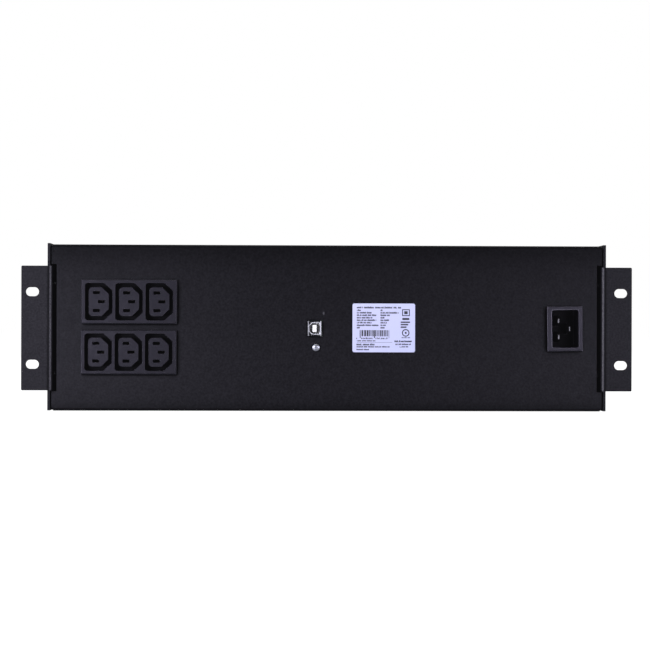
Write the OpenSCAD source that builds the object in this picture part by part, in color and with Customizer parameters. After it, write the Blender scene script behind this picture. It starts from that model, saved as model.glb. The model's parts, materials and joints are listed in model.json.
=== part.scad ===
// Rack-mounted uninterruptible power supply, 3U high, line-interactive type.
// Frame: the origin is the centre of the four rack slots, on the seating face of the
// rack ears (y = 0). The connector panel (rear) looks towards -Y, the bezel (front)
// towards +Y, +Z is up and the right-hand side is +X. All lengths in millimetres.

/* [Rack pattern] */
// Distance between the left and the right slot centres
slot_dx = 465.1; // [464.4:0.1:465.8]
// Distance between the upper and the lower slot centres
slot_dz = 57.15; // [56.75:0.05:57.55]
// Length of each slot, along X
slot_len = 10.4; // [8:0.1:11]
// Width of each slot, along Z
slot_w = 7.1; // [6.4:0.1:7.6]

/* [Rack ears] */
// Overall width across both ears
ears_w = 482.6; // [480:0.1:484]
// Height of each ear
ear_h = 98.2; // [90:0.1:100]
// Sheet thickness of the ears
ear_t = 1.6; // [1.5:0.1:1.8]
// Length of the ear leg that runs forward inside the side plate
ear_leg = 41; // [36:0.5:42]

/* [Chassis] */
// Width over the side plates
body_w = 442; // [441.6:0.1:442.4]
// Depth of the side plates
body_d = 366; // [362:1:400]
// Height of the side plates
side_h = 132; // [130:0.1:132.5]
// Thickness of the side plates
side_t = 2; // [1.6:0.1:2]
// Sheet thickness of the folded shell
shell_t = 1.2; // [1:0.1:1.4]
// Outer bend radius of the folded shell
bend_r = 2.5; // [2:0.1:3]
// Width of the connector panel
panel_w = 435.6; // [434:0.1:436]
// Height of the connector panel
panel_h = 131.3; // [130:0.1:132]
// Height of the ear notch in each side edge of the panel
notch_h = 100.5; // [100.2:0.1:103]

/* [Outlets] */
// Width of one triple outlet strip
strip_w = 75.4; // [74.6:0.1:77]
// Height of one triple outlet strip
strip_h = 35; // [34.4:0.1:36]
// Distance between outlets in a strip
outlet_pitch = 23.8; // [23.6:0.1:24]
// How far a strip stands proud of the panel
strip_proud = 2.5; // [1.5:0.1:3]

/* [Inlet] */
// Width of the inlet flange
inlet_w = 28.1; // [27.8:0.1:30]
// Height of the inlet flange
inlet_h = 35.5; // [35:0.1:37]
// Small turn of the inlet in its cut-out, in degrees
inlet_turn = 0.8; // [0:0.1:1]

/* [Rating label] */
// Width of the label
label_w = 49.6; // [40:0.1:60]
// Height of the label
label_h = 38.6; // [30:0.1:45]

/* [Batteries] */
// Width of one battery
batt_w = 65; // [60:0.5:65]
// Length of one battery
batt_l = 151; // [140:1:151]
// Height of one battery without its terminals
batt_h = 94; // [85:1:94]

/* [Transformer] */
// Width of one outer leg of the transformer laminations
lam_a = 24; // [20:1:24]
// Thickness of the lamination stack
lam_stack = 60; // [40:2:64]

/* [Fan] */
// Side of the square fan
fan_s = 80; // [79.5:0.1:80]
// Number of fan blades
fan_blades = 7; // [5:1:9]

/* [Power button] */
// Radius of the button cap
btn_r = 8; // [6:0.5:9]
// Travel of the button
btn_travel = 2; // [1:0.1:2.2]

/* [Hidden] */
$fn = 48;
fit_gap = 0.05;                   // running gap between fitted pieces
sheet_gap = 0.1;                  // gap between neighbouring sheets

// Chassis faces
x_out = body_w / 2;               // outer face of a side plate
x_in = x_out - side_t;            // inner face of a side plate
x_inside = x_in - sheet_gap;      // outer face of whatever lies against a side plate
leg_x0 = x_inside - ear_t;        // inner face of an ear leg
y_wall = 0.5;                     // outer face of the connector panel
y_in = y_wall + shell_t;          // its inner face
z_bot = -65.2;                    // bottom face, on which it stands
z_top = z_bot + panel_h;          // top face of the shell
z_floor = z_bot + shell_t;        // inner bottom face
z_ceiling = z_top - shell_t;      // inner top face
side_y0 = 0.3;                    // rear edge of the side plates
side_y1 = side_y0 + body_d;       // front edge of the side plates
side_z0 = -65.0;                  // lower edge of the side plates
bezel_y0 = side_y1 + 1.9;         // rear edge of the bezel
bezel_y1 = side_y1 + 16;          // front face of the bezel

// Screws: [head radius, head height, shank radius]
ear_screw = [3.8, 1.7, 1.95];
fan_screw = [3.6, 1.7, 1.95];
side_screw = [2.9, 1.35, 1.4];
front_screw = [2.7, 1.9, 1.4];
bezel_screw = [2.9, 2, 1.4];
usb_screw = [2.9, 1.9, 1.4];
usb_pcb_screw = [2.5, 1.6, 1.4];
pcb_screw = [2.8, 1.9, 1.4];
tapped_r = 1.46;                  // tapped hole for a 1.4 shank
clear_r = 1.7;                    // clearance hole for a 1.4 shank

// Places of the units, as x, y or z of their centres unless noted
strip_upper = [-156.65, 20.9];    // x, z
strip_lower = [-157.05, -18.9];   // x, z
inlet_x = 188.2;
inlet_z = 0.45;
usb_x = -10.4;
usb_z = 0.25;
usb_screw_x = -9.2;
usb_screw_z = -14.9;
fan_y = 112;
fan_z = 0;
control_x = 150;                  // operator field, button and indicator board
btn_z = 18;
lens_z = -14;

// ---- helpers -------------------------------------------------------------
module block(low, high) translate(low) cube(high - low);
module along_y(start, end)
    translate([0, end, 0]) rotate([90, 0, 0]) linear_extrude(end - start) children();
module along_x(start, end)
    translate([start, 0, 0]) rotate([90, 0, 90]) linear_extrude(end - start) children();
module rod_x(radius, start, end, y, z)
    translate([start, y, z]) rotate([0, 90, 0]) cylinder(r = radius, h = end - start);
module rod_y(radius, start, end, x, z)
    translate([x, start, z]) rotate([-90, 0, 0]) cylinder(r = radius, h = end - start);
module rod_z(radius, start, end, x, y)
    translate([x, y, start]) cylinder(r = radius, h = end - start);

// the range from near to far, on the + side or mirrored to the - side
function span(side, near, far) = side > 0 ? [near, far] : [-far, -near];

// puts a piece drawn along +X on the outer face of a side plate, pointing inwards;
// place is [y, z]
module on_side(side, place)
    translate([side * x_out, place[0], place[1]]) mirror([side > 0 ? 1 : 0, 0, 0]) children();

module round_rect(width, height, radius) union() {
    square([width - 2 * radius, height], center = true);
    square([width, height - 2 * radius], center = true);
    for (i = [-1, 1], j = [-1, 1])
        translate([i * (width / 2 - radius), j * (height / 2 - radius)]) circle(radius);
}
module stadium(length, width) union() {
    square([length - width, width], center = true);
    for (s = [-1, 1]) translate([s * (length - width) / 2, 0]) circle(width / 2);
}
// upright stadium
module slot(length, width) rotate(90) stadium(length, width);

// rectangle with rounded left corners and right corners bevelled by bevel_x and bevel_z
module d_shape(width, height, radius, bevel_x, bevel_z) {
    x_bevel = width / 2 - bevel_x - bevel_x / bevel_z;
    z_bevel = height / 2 - bevel_z - bevel_z / bevel_x;
    x_far = width / 2 + 1;
    z_far = height / 2 + 1;
    intersection() {
        round_rect(width, height, radius);
        polygon([[-x_far, -z_far], [x_bevel, -z_far], [x_far, -z_bevel],
            [x_far, z_bevel], [x_bevel, z_far], [-x_far, z_far]]);
    }
}
// plate in XZ, centred on x, z, its -Y edges bevelled by across (in XZ) and deep (in Y)
module bevel_plate(x, z, width, height, start, end, across, deep) {
    dx = width / 2;
    dz = height / 2;
    y_bevel = start + deep;
    intersection() {
        translate([x, 0, z - height]) linear_extrude(2 * height)
            polygon([[-dx, end], [-dx, y_bevel], [-dx + across, start],
                [dx - across, start], [dx, y_bevel], [dx, end]]);
        translate([0, 0, z]) along_x(x - width, x + width)
            polygon([[end, -dz], [y_bevel, -dz], [start, -dz + across],
                [start, dz - across], [y_bevel, dz], [end, dz]]);
    }
}

module cross_recess(length, width, z, depth)
    for (turn = [0, 90]) rotate([0, 0, turn])
        translate([-length / 2, -width / 2, z]) cube([length, width, depth]);
// countersunk screw along +X with its head face at x = 0; length includes the head
module csk_screw(size, length) rotate([0, 90, 0]) difference() {
    union() {
        cylinder(r1 = size[0], r2 = size[2], h = size[1]);
        cylinder(r = size[2], h = length);
    }
    cross_recess(size[0] * 1.1, 0.9, -1, 2.1);
}
module csk_hole(size, length) rotate([0, 90, 0]) union() {
    translate([0, 0, -1]) cylinder(r = size[0] + fit_gap, h = 1 + 0.06);
    cylinder(r1 = size[0] + 0.09, r2 = size[2] + 0.09, h = size[1]);
    cylinder(r = size[2] + 0.09, h = length);
}
// pan-head screw along +Y, under-head face at y = 0, head on the -Y side
module pan_screw(size, length) {
    head_r = size[0];
    head_h = size[1];
    dome_r = head_r * 1.45;
    rotate([-90, 0, 0]) difference() {
        union() {
            intersection() {
                translate([0, 0, -head_h]) cylinder(r = head_r, h = head_h);
                translate([0, 0, dome_r - head_h]) sphere(r = dome_r);
            }
            cylinder(r = size[2], h = length);
        }
        cross_recess(head_r * 1.16, 0.84, -head_h - 1, 1 + head_h * 0.72);
    }
}

function unit(v) = v / norm(v);
// round wire along runs between the points; neighbouring runs are square to each other
// and joined by quarter-torus bends
module wire(points, radius, bend) union() {
    last = len(points) - 1;
    for (i = [0:last - 1]) {
        run = points[i + 1] - points[i];
        length = norm(run);
        dir = run / length;
        trim_start = i == 0 ? 0 : bend;
        trim_end = i == last - 1 ? 0 : bend;
        translate(points[i] + dir * trim_start)
            rotate([0, acos(dir[2]), atan2(dir[1], dir[0])])
                cylinder(r = radius, h = length - trim_start - trim_end, $fn = 32);
    }
    if (last > 1) for (i = [1:last - 1]) {
        before = unit(points[i] - points[i - 1]);
        after = unit(points[i + 1] - points[i]);
        centre = points[i] - bend * before + bend * after;
        normal = cross(before, after);
        multmatrix([for (k = [0:2]) [-after[k], before[k], normal[k], centre[k]], [0, 0, 0, 1]])
            rotate_extrude(angle = 90, $fn = 32) translate([bend, 0]) circle(radius, $fn = 32);
    }
}

// ---- chassis -------------------------------------------------------------
panel_y1 = 8;                     // front end of the panel's folds
flange_lip = 12;                  // height of the shell's side flanges
ear_bend_r = 2.5;                 // outer bend radius of an ear
ear_corner_r = 1;
// screw places, [y, z] on the side plates and [x, z] on the front
ear_pts = [for (y = [12, ear_leg - 9], z = [-36, 36]) [y, z]];
side_pts = [for (y = [22, 130, 240, side_y1 - 16], z = [z_floor + 5.4, z_ceiling - 5.4]) [y, z]];
fan_pts = [for (i = [-1, 1], j = [-1, 1]) [fan_y + i * 35.75, fan_z + j * 35.75]];
front_pts = [for (s = [-1, 1], z = [-45, 45]) [s * 212, z]];
bezel_pts = [for (s = [-1, 1], z = [-50, 50]) [s * 190, z]];
indicator_pts = [for (s = [-1, 1], z = [-34, 34]) [control_x + s * 22, z]];

// side view: panel, its two bends and the start of the top and bottom sheets
module shell_profile() {
    y_bend = y_wall + bend_r;
    z_bends = [z_top - bend_r, z_bot + bend_r];
    difference() {
        union() {
            translate([y_bend, z_bot]) square([panel_y1 - bend_r, panel_h]);
            translate([y_wall, z_bends[1]]) square([bend_r + 1, panel_h - 2 * bend_r]);
            for (z = z_bends) translate([y_bend, z]) circle(bend_r);
        }
        translate([y_bend, z_floor]) square([20, panel_h - 2 * shell_t]);
        translate([y_in, z_bends[1]]) square([bend_r + 1, panel_h - 2 * bend_r]);
        for (z = z_bends) translate([y_bend, z]) circle(bend_r - shell_t);
    }
}
// end view: top and bottom sheets with the flanges that the side plates screw to
module flange_profile() difference() {
    translate([0, (z_top + z_bot) / 2]) difference() {
        round_rect(2 * x_inside, panel_h, bend_r);
        round_rect(2 * (x_inside - shell_t), panel_h - 2 * shell_t, bend_r - shell_t);
    }
    square([2 * x_inside + 10, panel_h - 2 * (flange_lip + shell_t)], center = true);
}
module main_shell() color("#2b2a2f") difference() {
    union() {
        along_x(-panel_w / 2, panel_w / 2) shell_profile();
        along_y(7.5, side_y1 - 3.3) flange_profile();
    }
    // ear notches, open to the side edges of the connector panel
    for (s = [-1, 1])
        translate([s * (213.8 + 10), 0, 0.3]) cube([20, 14, notch_h], center = true);
    // bevelled bend reliefs at the four corners of the connector panel
    for (s = [-1, 1], k = [-1, 1]) {
        x_edge = s * panel_w / 2;
        x_relief = x_edge - s * 1.4;
        z_edge = k > 0 ? z_top : z_bot;
        z_relief = z_edge - k * 2.6;
        along_y(-1, 7.5)
            polygon([[x_relief, z_edge + k], [x_relief, z_edge], [x_edge, z_relief],
                [x_edge + s, z_relief], [x_edge + s, z_edge + k]]);
    }
    // openings for the outlet strips, the inlet, the USB socket and its screw
    for (place = [strip_upper, strip_lower])
        along_y(-1, 4) translate(place) round_rect(strip_w - 3, strip_h - 2.8, 1);
    along_y(-1, 4) translate([inlet_x, inlet_z]) round_rect(inlet_w - 2.6, inlet_h - 1.8, 1.5);
    along_y(-1, 4) translate([usb_x, usb_z + 0.15]) round_rect(12.4, 13.3, 0.6);
    rod_y(clear_r, -1, 4, usb_screw_x, usb_screw_z);
    for (s = [-1, 1], p = side_pts) {
        cut = span(s, 214, 221);
        rod_x(tapped_r, cut[0], cut[1], p[0], p[1]);
    }
}

// side plate with a folded lip at its front edge; the children are cut out of it
module side_plate(side) {
    plate = span(side, x_in, x_out);
    lip = span(side, 207, x_out - 1);
    difference() {
        union() {
            block([plate[0], side_y0, side_z0], [plate[1], side_y1, side_z0 + side_h]);
            block([lip[0], side_y1 - side_t, side_z0 + 3], [lip[1], side_y1, side_z0 + side_h - 4]);
        }
        for (p = ear_pts) on_side(side, p) csk_hole(ear_screw, 4);
        for (p = side_pts) on_side(side, p) csk_hole(side_screw, 4);
        for (p = front_pts) if (p[0] * side > 0)
            rod_y(tapped_r, side_y1 - 5, side_y1 + 1, p[0], p[1]);
        children();
    }
}
// two rows of nine upright ventilation slots through a side plate
module side_vents(side, y_first) {
    cut = span(side, x_in - 1, x_out + 1);
    for (i = [0:8], z = [-20, 20])
        along_x(cut[0], cut[1]) translate([y_first + i * 9, z]) slot(26, 4);
}
module left_side_plate() color("#2c2b30") side_plate(-1) side_vents(-1, 60);
module right_side_plate() color("#2c2b30") side_plate(1) {
    // round fan grille: concentric ring sectors around a solid centre
    along_x(x_in - 1, x_out + 1) translate([fan_y, fan_z]) difference() {
        for (r = [12, 18.5, 25, 31.5, 38]) difference() {
            circle(r, $fn = 72);
            circle(r - 4.4, $fn = 72);
        }
        for (turn = [45, 135]) rotate(turn) square([90, 3.6], center = true);
    }
    for (p = fan_pts) on_side(1, p) csk_hole(fan_screw, 4);
    side_vents(1, 250);
}

// one rack ear as an angle bracket; side is +1 for the right-hand ear
module rack_ear(side) color("#302f35") mirror([side > 0 ? 0 : 1, 0, 0]) difference() {
    x_bend = leg_x0 + ear_bend_r;
    y_bend = -ear_t + ear_bend_r;
    translate([0, 0, -ear_h / 2]) linear_extrude(ear_h) difference() {
        union() {
            translate([x_bend, -ear_t]) square([ears_w / 2 - x_bend, ear_t]);
            translate([leg_x0, y_bend]) square([ear_t, ear_leg - y_bend]);
            translate([x_bend, y_bend]) circle(ear_bend_r);
        }
        translate([x_bend, y_bend]) circle(ear_bend_r - ear_t);
        translate([leg_x0 + ear_t, 0.02]) square([4, 4]);
    }
    for (j = [-1, 1])
        along_y(-ear_t - 1, 1) translate([slot_dx / 2, j * slot_dz / 2]) stadium(slot_len, slot_w);
    for (p = ear_pts) rod_x(2.0, leg_x0 - 1, x_inside + 1, p[0], p[1]);
    // rounded outer corners of the flange
    for (j = [-1, 1])
        translate([ears_w / 2 - ear_corner_r, 0, j * (ear_h / 2 - ear_corner_r)]) difference() {
            translate([0, -5, j > 0 ? 0 : -2]) cube([2, 10, 2]);
            rod_y(ear_corner_r, -6, 6, 0, 0);
        }
}
module left_rack_ear() rack_ear(-1);
module right_rack_ear() rack_ear(1);
module ear_screws() color("#1e1e20")
    for (s = [-1, 1], p = ear_pts) on_side(s, p) csk_screw(ear_screw, 5);
module side_plate_screws() color("#1e1e20")
    for (s = [-1, 1], p = side_pts) on_side(s, p) csk_screw(side_screw, 5);

module front_plate() color("#2c2b30") difference() {
    y_cut0 = side_y1 - 1;
    y_cut1 = side_y1 + 3;
    block([-x_out + 0.2, side_y1 + sheet_gap, -64.9], [x_out - 0.2, side_y1 + 1.6, 66.6]);
    for (p = front_pts) rod_y(clear_r, y_cut0, y_cut1, p[0], p[1]);
    for (p = bezel_pts) rod_y(clear_r, y_cut0, y_cut1, p[0], p[1]);
    // two rows of ventilation slots, then the opening behind the operator field
    for (i = [0:15], s = [-1, 1])
        along_y(y_cut0, y_cut1) translate([-150 + i * 12, s * 28]) slot(40, 5);
    along_y(y_cut0, y_cut1) translate([control_x, 0]) round_rect(56, 84, 3);
}
module front_plate_screws() color("#1e1e20") for (p = front_pts)
    translate([p[0], side_y1 + 1.6, p[1]]) mirror([0, 1, 0]) pan_screw(front_screw, 5);
module bezel_screws() color("#8a8a8c") for (p = bezel_pts)
    translate([p[0], side_y1 + 0.1, p[1]]) pan_screw(bezel_screw, 9);
module front_bezel() color("#232226") difference() {
    union() {
        difference() {
            intersection() {
                along_y(bezel_y0, bezel_y1) round_rect(body_w, 131.6, 3);
                // bevelled upper and lower front edges
                along_x(-x_out - 1, x_out + 1)
                    polygon([[bezel_y0, -66], [bezel_y1 - 3, -66], [bezel_y1, -63],
                        [bezel_y1, 63], [bezel_y1 - 3, 66], [bezel_y0, 66]]);
            }
            along_y(bezel_y0 - 1, bezel_y1 - 2.5) round_rect(body_w - 5, 126.6, 2);
        }
        // screw bosses and posts for the indicator board
        for (p = bezel_pts) rod_y(4, bezel_y0 - 0.2, bezel_y1 - 2, p[0], p[1]);
        for (p = indicator_pts) rod_y(3, side_y1 + 7.2, bezel_y1 - 2, p[0], p[1]);
    }
    for (p = bezel_pts) rod_y(tapped_r, bezel_y0 - 1, bezel_y1 - 4, p[0], p[1]);
    for (p = indicator_pts) rod_y(1.1, side_y1 + 6, bezel_y1 - 4, p[0], p[1]);
    // louvre slots
    for (i = [0:27])
        along_y(bezel_y1 - 4, bezel_y1 + 1) translate([-186 + i * 10, 0]) slot(96, 4.6);
    // recessed operator field, button hole and lens holes
    along_y(bezel_y1 - 0.8, bezel_y1 + 1) translate([control_x, 0]) round_rect(52, 86, 4);
    rod_y(btn_r + 0.35, bezel_y1 - 4, bezel_y1 + 1, control_x, btn_z);
    for (x = lens_x) rod_y(lens_r + fit_gap, bezel_y1 - 4, bezel_y1 + 1, x, lens_z);
}

// ---- outlets ---------------------------------------------------------------
// x, z of the three blades about the centre of an outlet
blade_pts = [[-1.9, 7], [-1.9, -7], [2, 0]];
module outlet_strip(place) color("#39383e") difference() {
    x = place[0];
    z = place[1];
    y_face = y_wall - strip_proud;
    union() {
        bevel_plate(x, z, strip_w, strip_h, y_face, y_wall, across = 0.9, deep = 0.8);
        along_y(y_wall - 0.5, 29) translate(place) round_rect(strip_w - 3.4, strip_h - 3.2, 1.5);
        // snap latches behind the panel
        for (s = [-1, 1]) {
            x_root = x + s * (strip_w / 2 - 2.7);
            translate([0, 0, z - 5]) linear_extrude(10)
                polygon([[x_root, y_in + 0.15], [x + s * (strip_w / 2 - 0.6), y_in + 0.15],
                    [x + s * (strip_w / 2 - 1.9), 8], [x_root, 8]]);
        }
    }
    for (i = [-1:1]) {
        x_outlet = x + i * outlet_pitch;
        // well around a standing core
        difference() {
            along_y(y_wall - 6, 16) translate([x_outlet, z]) d_shape(21.7, 29.6, 2.4, 6.8, 6.2);
            along_y(y_face + 0.15, 17) translate([x_outlet, z]) d_shape(15.6, 22.6, 3, 5.6, 5.4);
        }
        // blade slots with wider contact pockets behind them
        for (p = blade_pts) translate([x_outlet + p[0], 0, z + p[1]]) {
            along_y(-5, 10) round_rect(5.5, 2.5, 0.3);
            along_y(1.5, 30) round_rect(6, 4.6, 0.3);
        }
    }
}
module outlet_strip_upper() outlet_strip(strip_upper);
module outlet_strip_lower() outlet_strip(strip_lower);
// three bus bars, each with three pairs of contact leaves and one spade tab
module outlet_contacts(place) color("#b99a4a") for (p = blade_pts) union() {
    x = place[0] + p[0];
    z = place[1] + p[1];
    x_end = x + outlet_pitch + 9;
    block([x - outlet_pitch - 2.5, 29.1, z - 2], [x_end, 30, z + 2]);
    for (i = [-1:1], k = [-1, 1])
        translate([x + i * outlet_pitch - 2.5, 9, z + k * 1.45 - 0.3]) cube([5, 20.6, 0.6]);
    block([x_end - 6, 29.5, z - 0.4], [x_end, 38, z + 0.4]);
}
module outlet_contacts_upper() outlet_contacts(strip_upper);
module outlet_contacts_lower() outlet_contacts(strip_lower);

// ---- inlet -----------------------------------------------------------------
// x, z of the three pins about the centre of the inlet
pin_pts = [[-4.35, 6.5], [-4.35, -6.5], [4.35, 0]];
pin_y0 = 4;                       // tip of a pin
pin_y1 = 34;                      // end of its blade and of the body
// the inlet is drawn about its own centre, then turned slightly and placed
module at_inlet() translate([inlet_x, 0, inlet_z]) rotate([0, -inlet_turn, 0]) children();
module inlet_body() color("#403e48") at_inlet() difference() {
    union() {
        bevel_plate(0, 0, inlet_w, inlet_h, y_wall - 2.6, y_wall, across = 0.6, deep = 0.5);
        along_y(y_wall - 0.5, pin_y1) round_rect(inlet_w - 3.6, inlet_h - 2.8, 2);
        // snap latches behind the panel, above and below
        for (s = [-1, 1]) along_x(-5, 5)
            polygon([[y_in + 0.15, s * (inlet_h / 2 - 2)], [y_in + 0.15, s * (inlet_h / 2 - 0.5)],
                [8, s * (inlet_h / 2 - 1.5)], [8, s * (inlet_h / 2 - 2)]]);
    }
    along_y(y_wall - 6, 22) translate([0.2, 0]) round_rect(21.4, 30.1, 1.8);
    for (p = pin_pts) along_y(20, 35) translate(p) square([2.1, 8.1], center = true);
}
module inlet_pins() color("#c9c9c6") at_inlet() for (p = pin_pts)
    translate([p[0], 0, p[1]]) union() {
        // blade with a bevelled tip, then a narrower spade tab behind the body
        intersection() {
            along_x(-1, 1) polygon([[pin_y0, -1.8], [7.6, -4], [pin_y1, -4],
                [pin_y1, 4], [7.6, 4], [pin_y0, 1.8]]);
            translate([0, 0, -5]) linear_extrude(10)
                polygon([[-0.6, pin_y0], [-1, 4.8], [-1, pin_y1],
                    [1, pin_y1], [1, 4.8], [0.6, pin_y0]]);
        }
        block([-0.4, pin_y1 - 0.1, -3.15], [0.4, 43, 3.15]);
    }

// ---- USB socket --------------------------------------------------------------
// Type B socket lying on its side: a square shell whose lip on the panel side folds back
// into a D-shaped throat with its bevelled corners towards -X
usb_pcb_x0 = -4.8;
usb_pcb_x1 = -3.2;
usb_pcb_hole_y = 14;
usb_bracket_x = usb_pcb_x0 - 0.15; // bracket face that lies against the board
usb_bracket_dz = 4.2;             // half the height of the bracket

// throat outline, grown by a margin
module usb_throat(margin) {
    x_bevel = -1.9 - margin * 0.45;
    z_bevel = 2.3 + margin * 0.45;
    x_left = -3.9 - margin;
    x_right = 5 + margin;
    z_edge = 4.3 + margin;
    intersection() {
        round_rect(7.8 + 2 * margin, 8.6 + 2 * margin, 0.5 + margin);
        polygon([[x_left, -z_bevel], [x_bevel, -z_edge], [x_right, -z_edge],
            [x_right, z_edge], [x_bevel, z_edge], [x_left, z_bevel]]);
    }
}
module at_usb() translate([usb_x, 0, usb_z]) children();
module usb_shell() color("#bdbcbb") at_usb() difference() {
    union() {
        difference() {
            along_y(-0.7, 15.6) round_rect(10.9, 12, 0.5);
            along_y(-0.3, 15.2) square([10.1, 11.2], center = true);
            // relieved corners and edges of the folded lip
            for (k = [-1, 1]) {
                along_y(-2, 0) polygon([[-4.75, k * 2.9], [-2.3, k * 5.45], [-4.75, k * 5.45]]);
                along_y(-2, 0) polygon([[4.75, k * 4.75], [4.2, k * 5.45], [4.75, k * 5.45]]);
                along_y(-2, 0) translate([0, k * 5.1]) square([9.5, 0.9], center = true);
            }
        }
        along_y(-0.7, 9) usb_throat(0.4);
    }
    along_y(-2, 9.5) usb_throat(0);
}
module usb_insert() color("#d9d8d4") at_usb() difference() {
    union() {
        along_y(9.1, 15.1) square([9.9, 11], center = true);
        along_y(0.6, 9.2) round_rect(3.2, 5.7, 0.3);
    }
    // contact grooves, two on each side of the tongue
    for (k = [-1, 1], j = [-1, 1])
        translate([k * 1.6 - (k > 0 ? 0.25 : 0), 1.8, j * 1.25 - 0.55]) cube([0.25, 9, 1.1]);
}
module usb_contacts() color("#c9a64e") at_usb() for (k = [-1, 1], j = [-1, 1])
    translate([k * 1.6 - (k > 0 ? 0.23 : -0.03), 2, j * 1.25 - 0.5]) cube([0.2, 7, 1]);
module usb_board() color("#1f5a34") difference() {
    block([usb_pcb_x0, 3.4, -24], [usb_pcb_x1, 46, 14]);
    rod_x(1.6, -6, -2, usb_pcb_hole_y, usb_screw_z);
}
// angle bracket between the connector panel and the USB board
module usb_bracket() color("#9a9a98") difference() {
    y_face = y_in + fit_gap;
    z_low = usb_screw_z - usb_bracket_dz;
    z_high = usb_screw_z + usb_bracket_dz;
    union() {
        block([-14.5, y_face, z_low], [usb_bracket_x, y_in + 1.3, z_high]);
        block([usb_bracket_x - 1.2, y_face, z_low], [usb_bracket_x, 20, z_high]);
    }
    rod_y(tapped_r, 0, 5, usb_screw_x, usb_screw_z);
    rod_x(tapped_r, -8, -4, usb_pcb_hole_y, usb_screw_z);
}
module usb_panel_screw() color("#c4c3c1")
    translate([usb_screw_x, y_wall, usb_screw_z]) pan_screw(usb_screw, 7);
module usb_board_screw() color("#8a8a8c")
    translate([usb_pcb_x1, usb_pcb_hole_y, usb_screw_z])
        rotate([0, 0, 90]) pan_screw(usb_pcb_screw, 5);
module rating_label() color("#d9dcf2")
    along_y(y_wall - 0.12, y_wall) translate([44.45, 0.8]) round_rect(label_w, label_h, 1.5);

// ---- batteries -------------------------------------------------------------
pad_t = 2;                        // pads below and above the batteries
batt_x = [for (i = [0:3]) -213 + i * (batt_w + 1) + batt_w / 2];
batt_y = side_y1 - 12 - batt_l;   // rear face
batt_z = z_floor + pad_t;         // underside
batt_top = batt_z + batt_h;
tab_dx = 21;                      // terminals either side of the battery centre
tab_dy = 11;                      // terminals from the rear face
tab_y = batt_y + tab_dy;
strap_x0 = -214.9;
strap_x1 = 53.6;
strap_y = batt_y + 95;
strap_w = 24;
strap_t = 1.5;
strap_studs = [for (dy = [6, 18]) [60.5, strap_y + dy]];

module battery(i) color("#3a3c40") translate([batt_x[i], batt_y, batt_z]) difference() {
    union() {
        translate([-batt_w / 2, 0, 0]) cube([batt_w, batt_l, batt_h - 9]);
        translate([-batt_w / 2 + 0.8, 0.8, batt_h - 10]) cube([batt_w - 1.6, batt_l - 1.6, 10]);
    }
    for (s = [-1, 1]) translate([s * tab_dx - 7, tab_dy - 7, batt_h - 2]) cube([14, 14, 4]);
}
module battery_1() battery(0);
module battery_2() battery(1);
module battery_3() battery(2);
module battery_4() battery(3);
module battery_terminals() color("#c8c8c4") for (i = [0:3], s = [-1, 1])
    translate([batt_x[i] + s * tab_dx, tab_y, batt_top - 2]) union() {
        translate([-4, -3, 0]) cube([8, 6, 1]);
        translate([-0.4, -3.15, 0.5]) cube([0.8, 6.3, 8.5]);
    }
// push-on connector, open below, that fits a battery tab
module push_on(x) difference() {
    translate([x - 3, tab_y - 4.5, batt_top]) cube([6, 9, 12]);
    translate([x - 0.5, tab_y - 3.3, batt_top - 1]) cube([1, 6.6, 9]);
}
module battery_jumpers() color("#a3262a") for (i = [0:2]) union() {
    push_on(batt_x[i] + tab_dx);
    push_on(batt_x[i + 1] - tab_dx);
    rod_x(1.9, batt_x[i] + 20, batt_x[i + 1] - 20, tab_y, batt_top + 9.5);
}
// strap over all four batteries, with a foot on its right-hand end
module battery_strap() color("#a9aaac") difference() {
    y_end = strap_y + strap_w;
    z_low = z_floor + sheet_gap;
    z_high = batt_top + pad_t + strap_t;
    union() {
        block([strap_x0, strap_y, z_high - strap_t], [strap_x1, y_end, z_high]);
        block([strap_x0, strap_y, z_low], [strap_x0 + strap_t, y_end, z_high]);
        block([strap_x1 - strap_t, strap_y, z_low], [strap_x1, y_end, z_high]);
        block([strap_x1 - strap_t, strap_y, z_low], [67.5, y_end, z_low + strap_t]);
    }
    for (p = strap_studs) rod_z(2.2, z_floor - 1, z_floor + 3, p[0], p[1]);
}
module battery_pad(x, y, z) block([x - 28, y, z], [x + 28, y + 20, z + pad_t]);
module battery_pads() color("#4a4a4c") {
    for (x = batt_x) battery_pad(x, strap_y + 2, batt_top);
    for (x = batt_x, dy = [10, batt_l - 30]) battery_pad(x, batt_y + dy, z_floor);
}

// ---- transformer ------------------------------------------------------------
trafo_x = 141.5;
trafo_y = side_y1 - 76;
trafo_z = z_floor + 1.6;          // underside of the core
trafo_w = 6 * lam_a;
trafo_h = 5 * lam_a;
half_stack = lam_stack / 2;
trafo_bolt_inset = lam_a * 0.42;
// bolt places, x, z
trafo_bolts = [for (s = [-1, 1], dz = [trafo_bolt_inset, trafo_h - trafo_bolt_inset])
    [trafo_x + s * (trafo_w / 2 - trafo_bolt_inset), trafo_z + dz]];
function foot_stud(s, k) = [trafo_x + k * 56, trafo_y + s * (half_stack + 9)];

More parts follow.
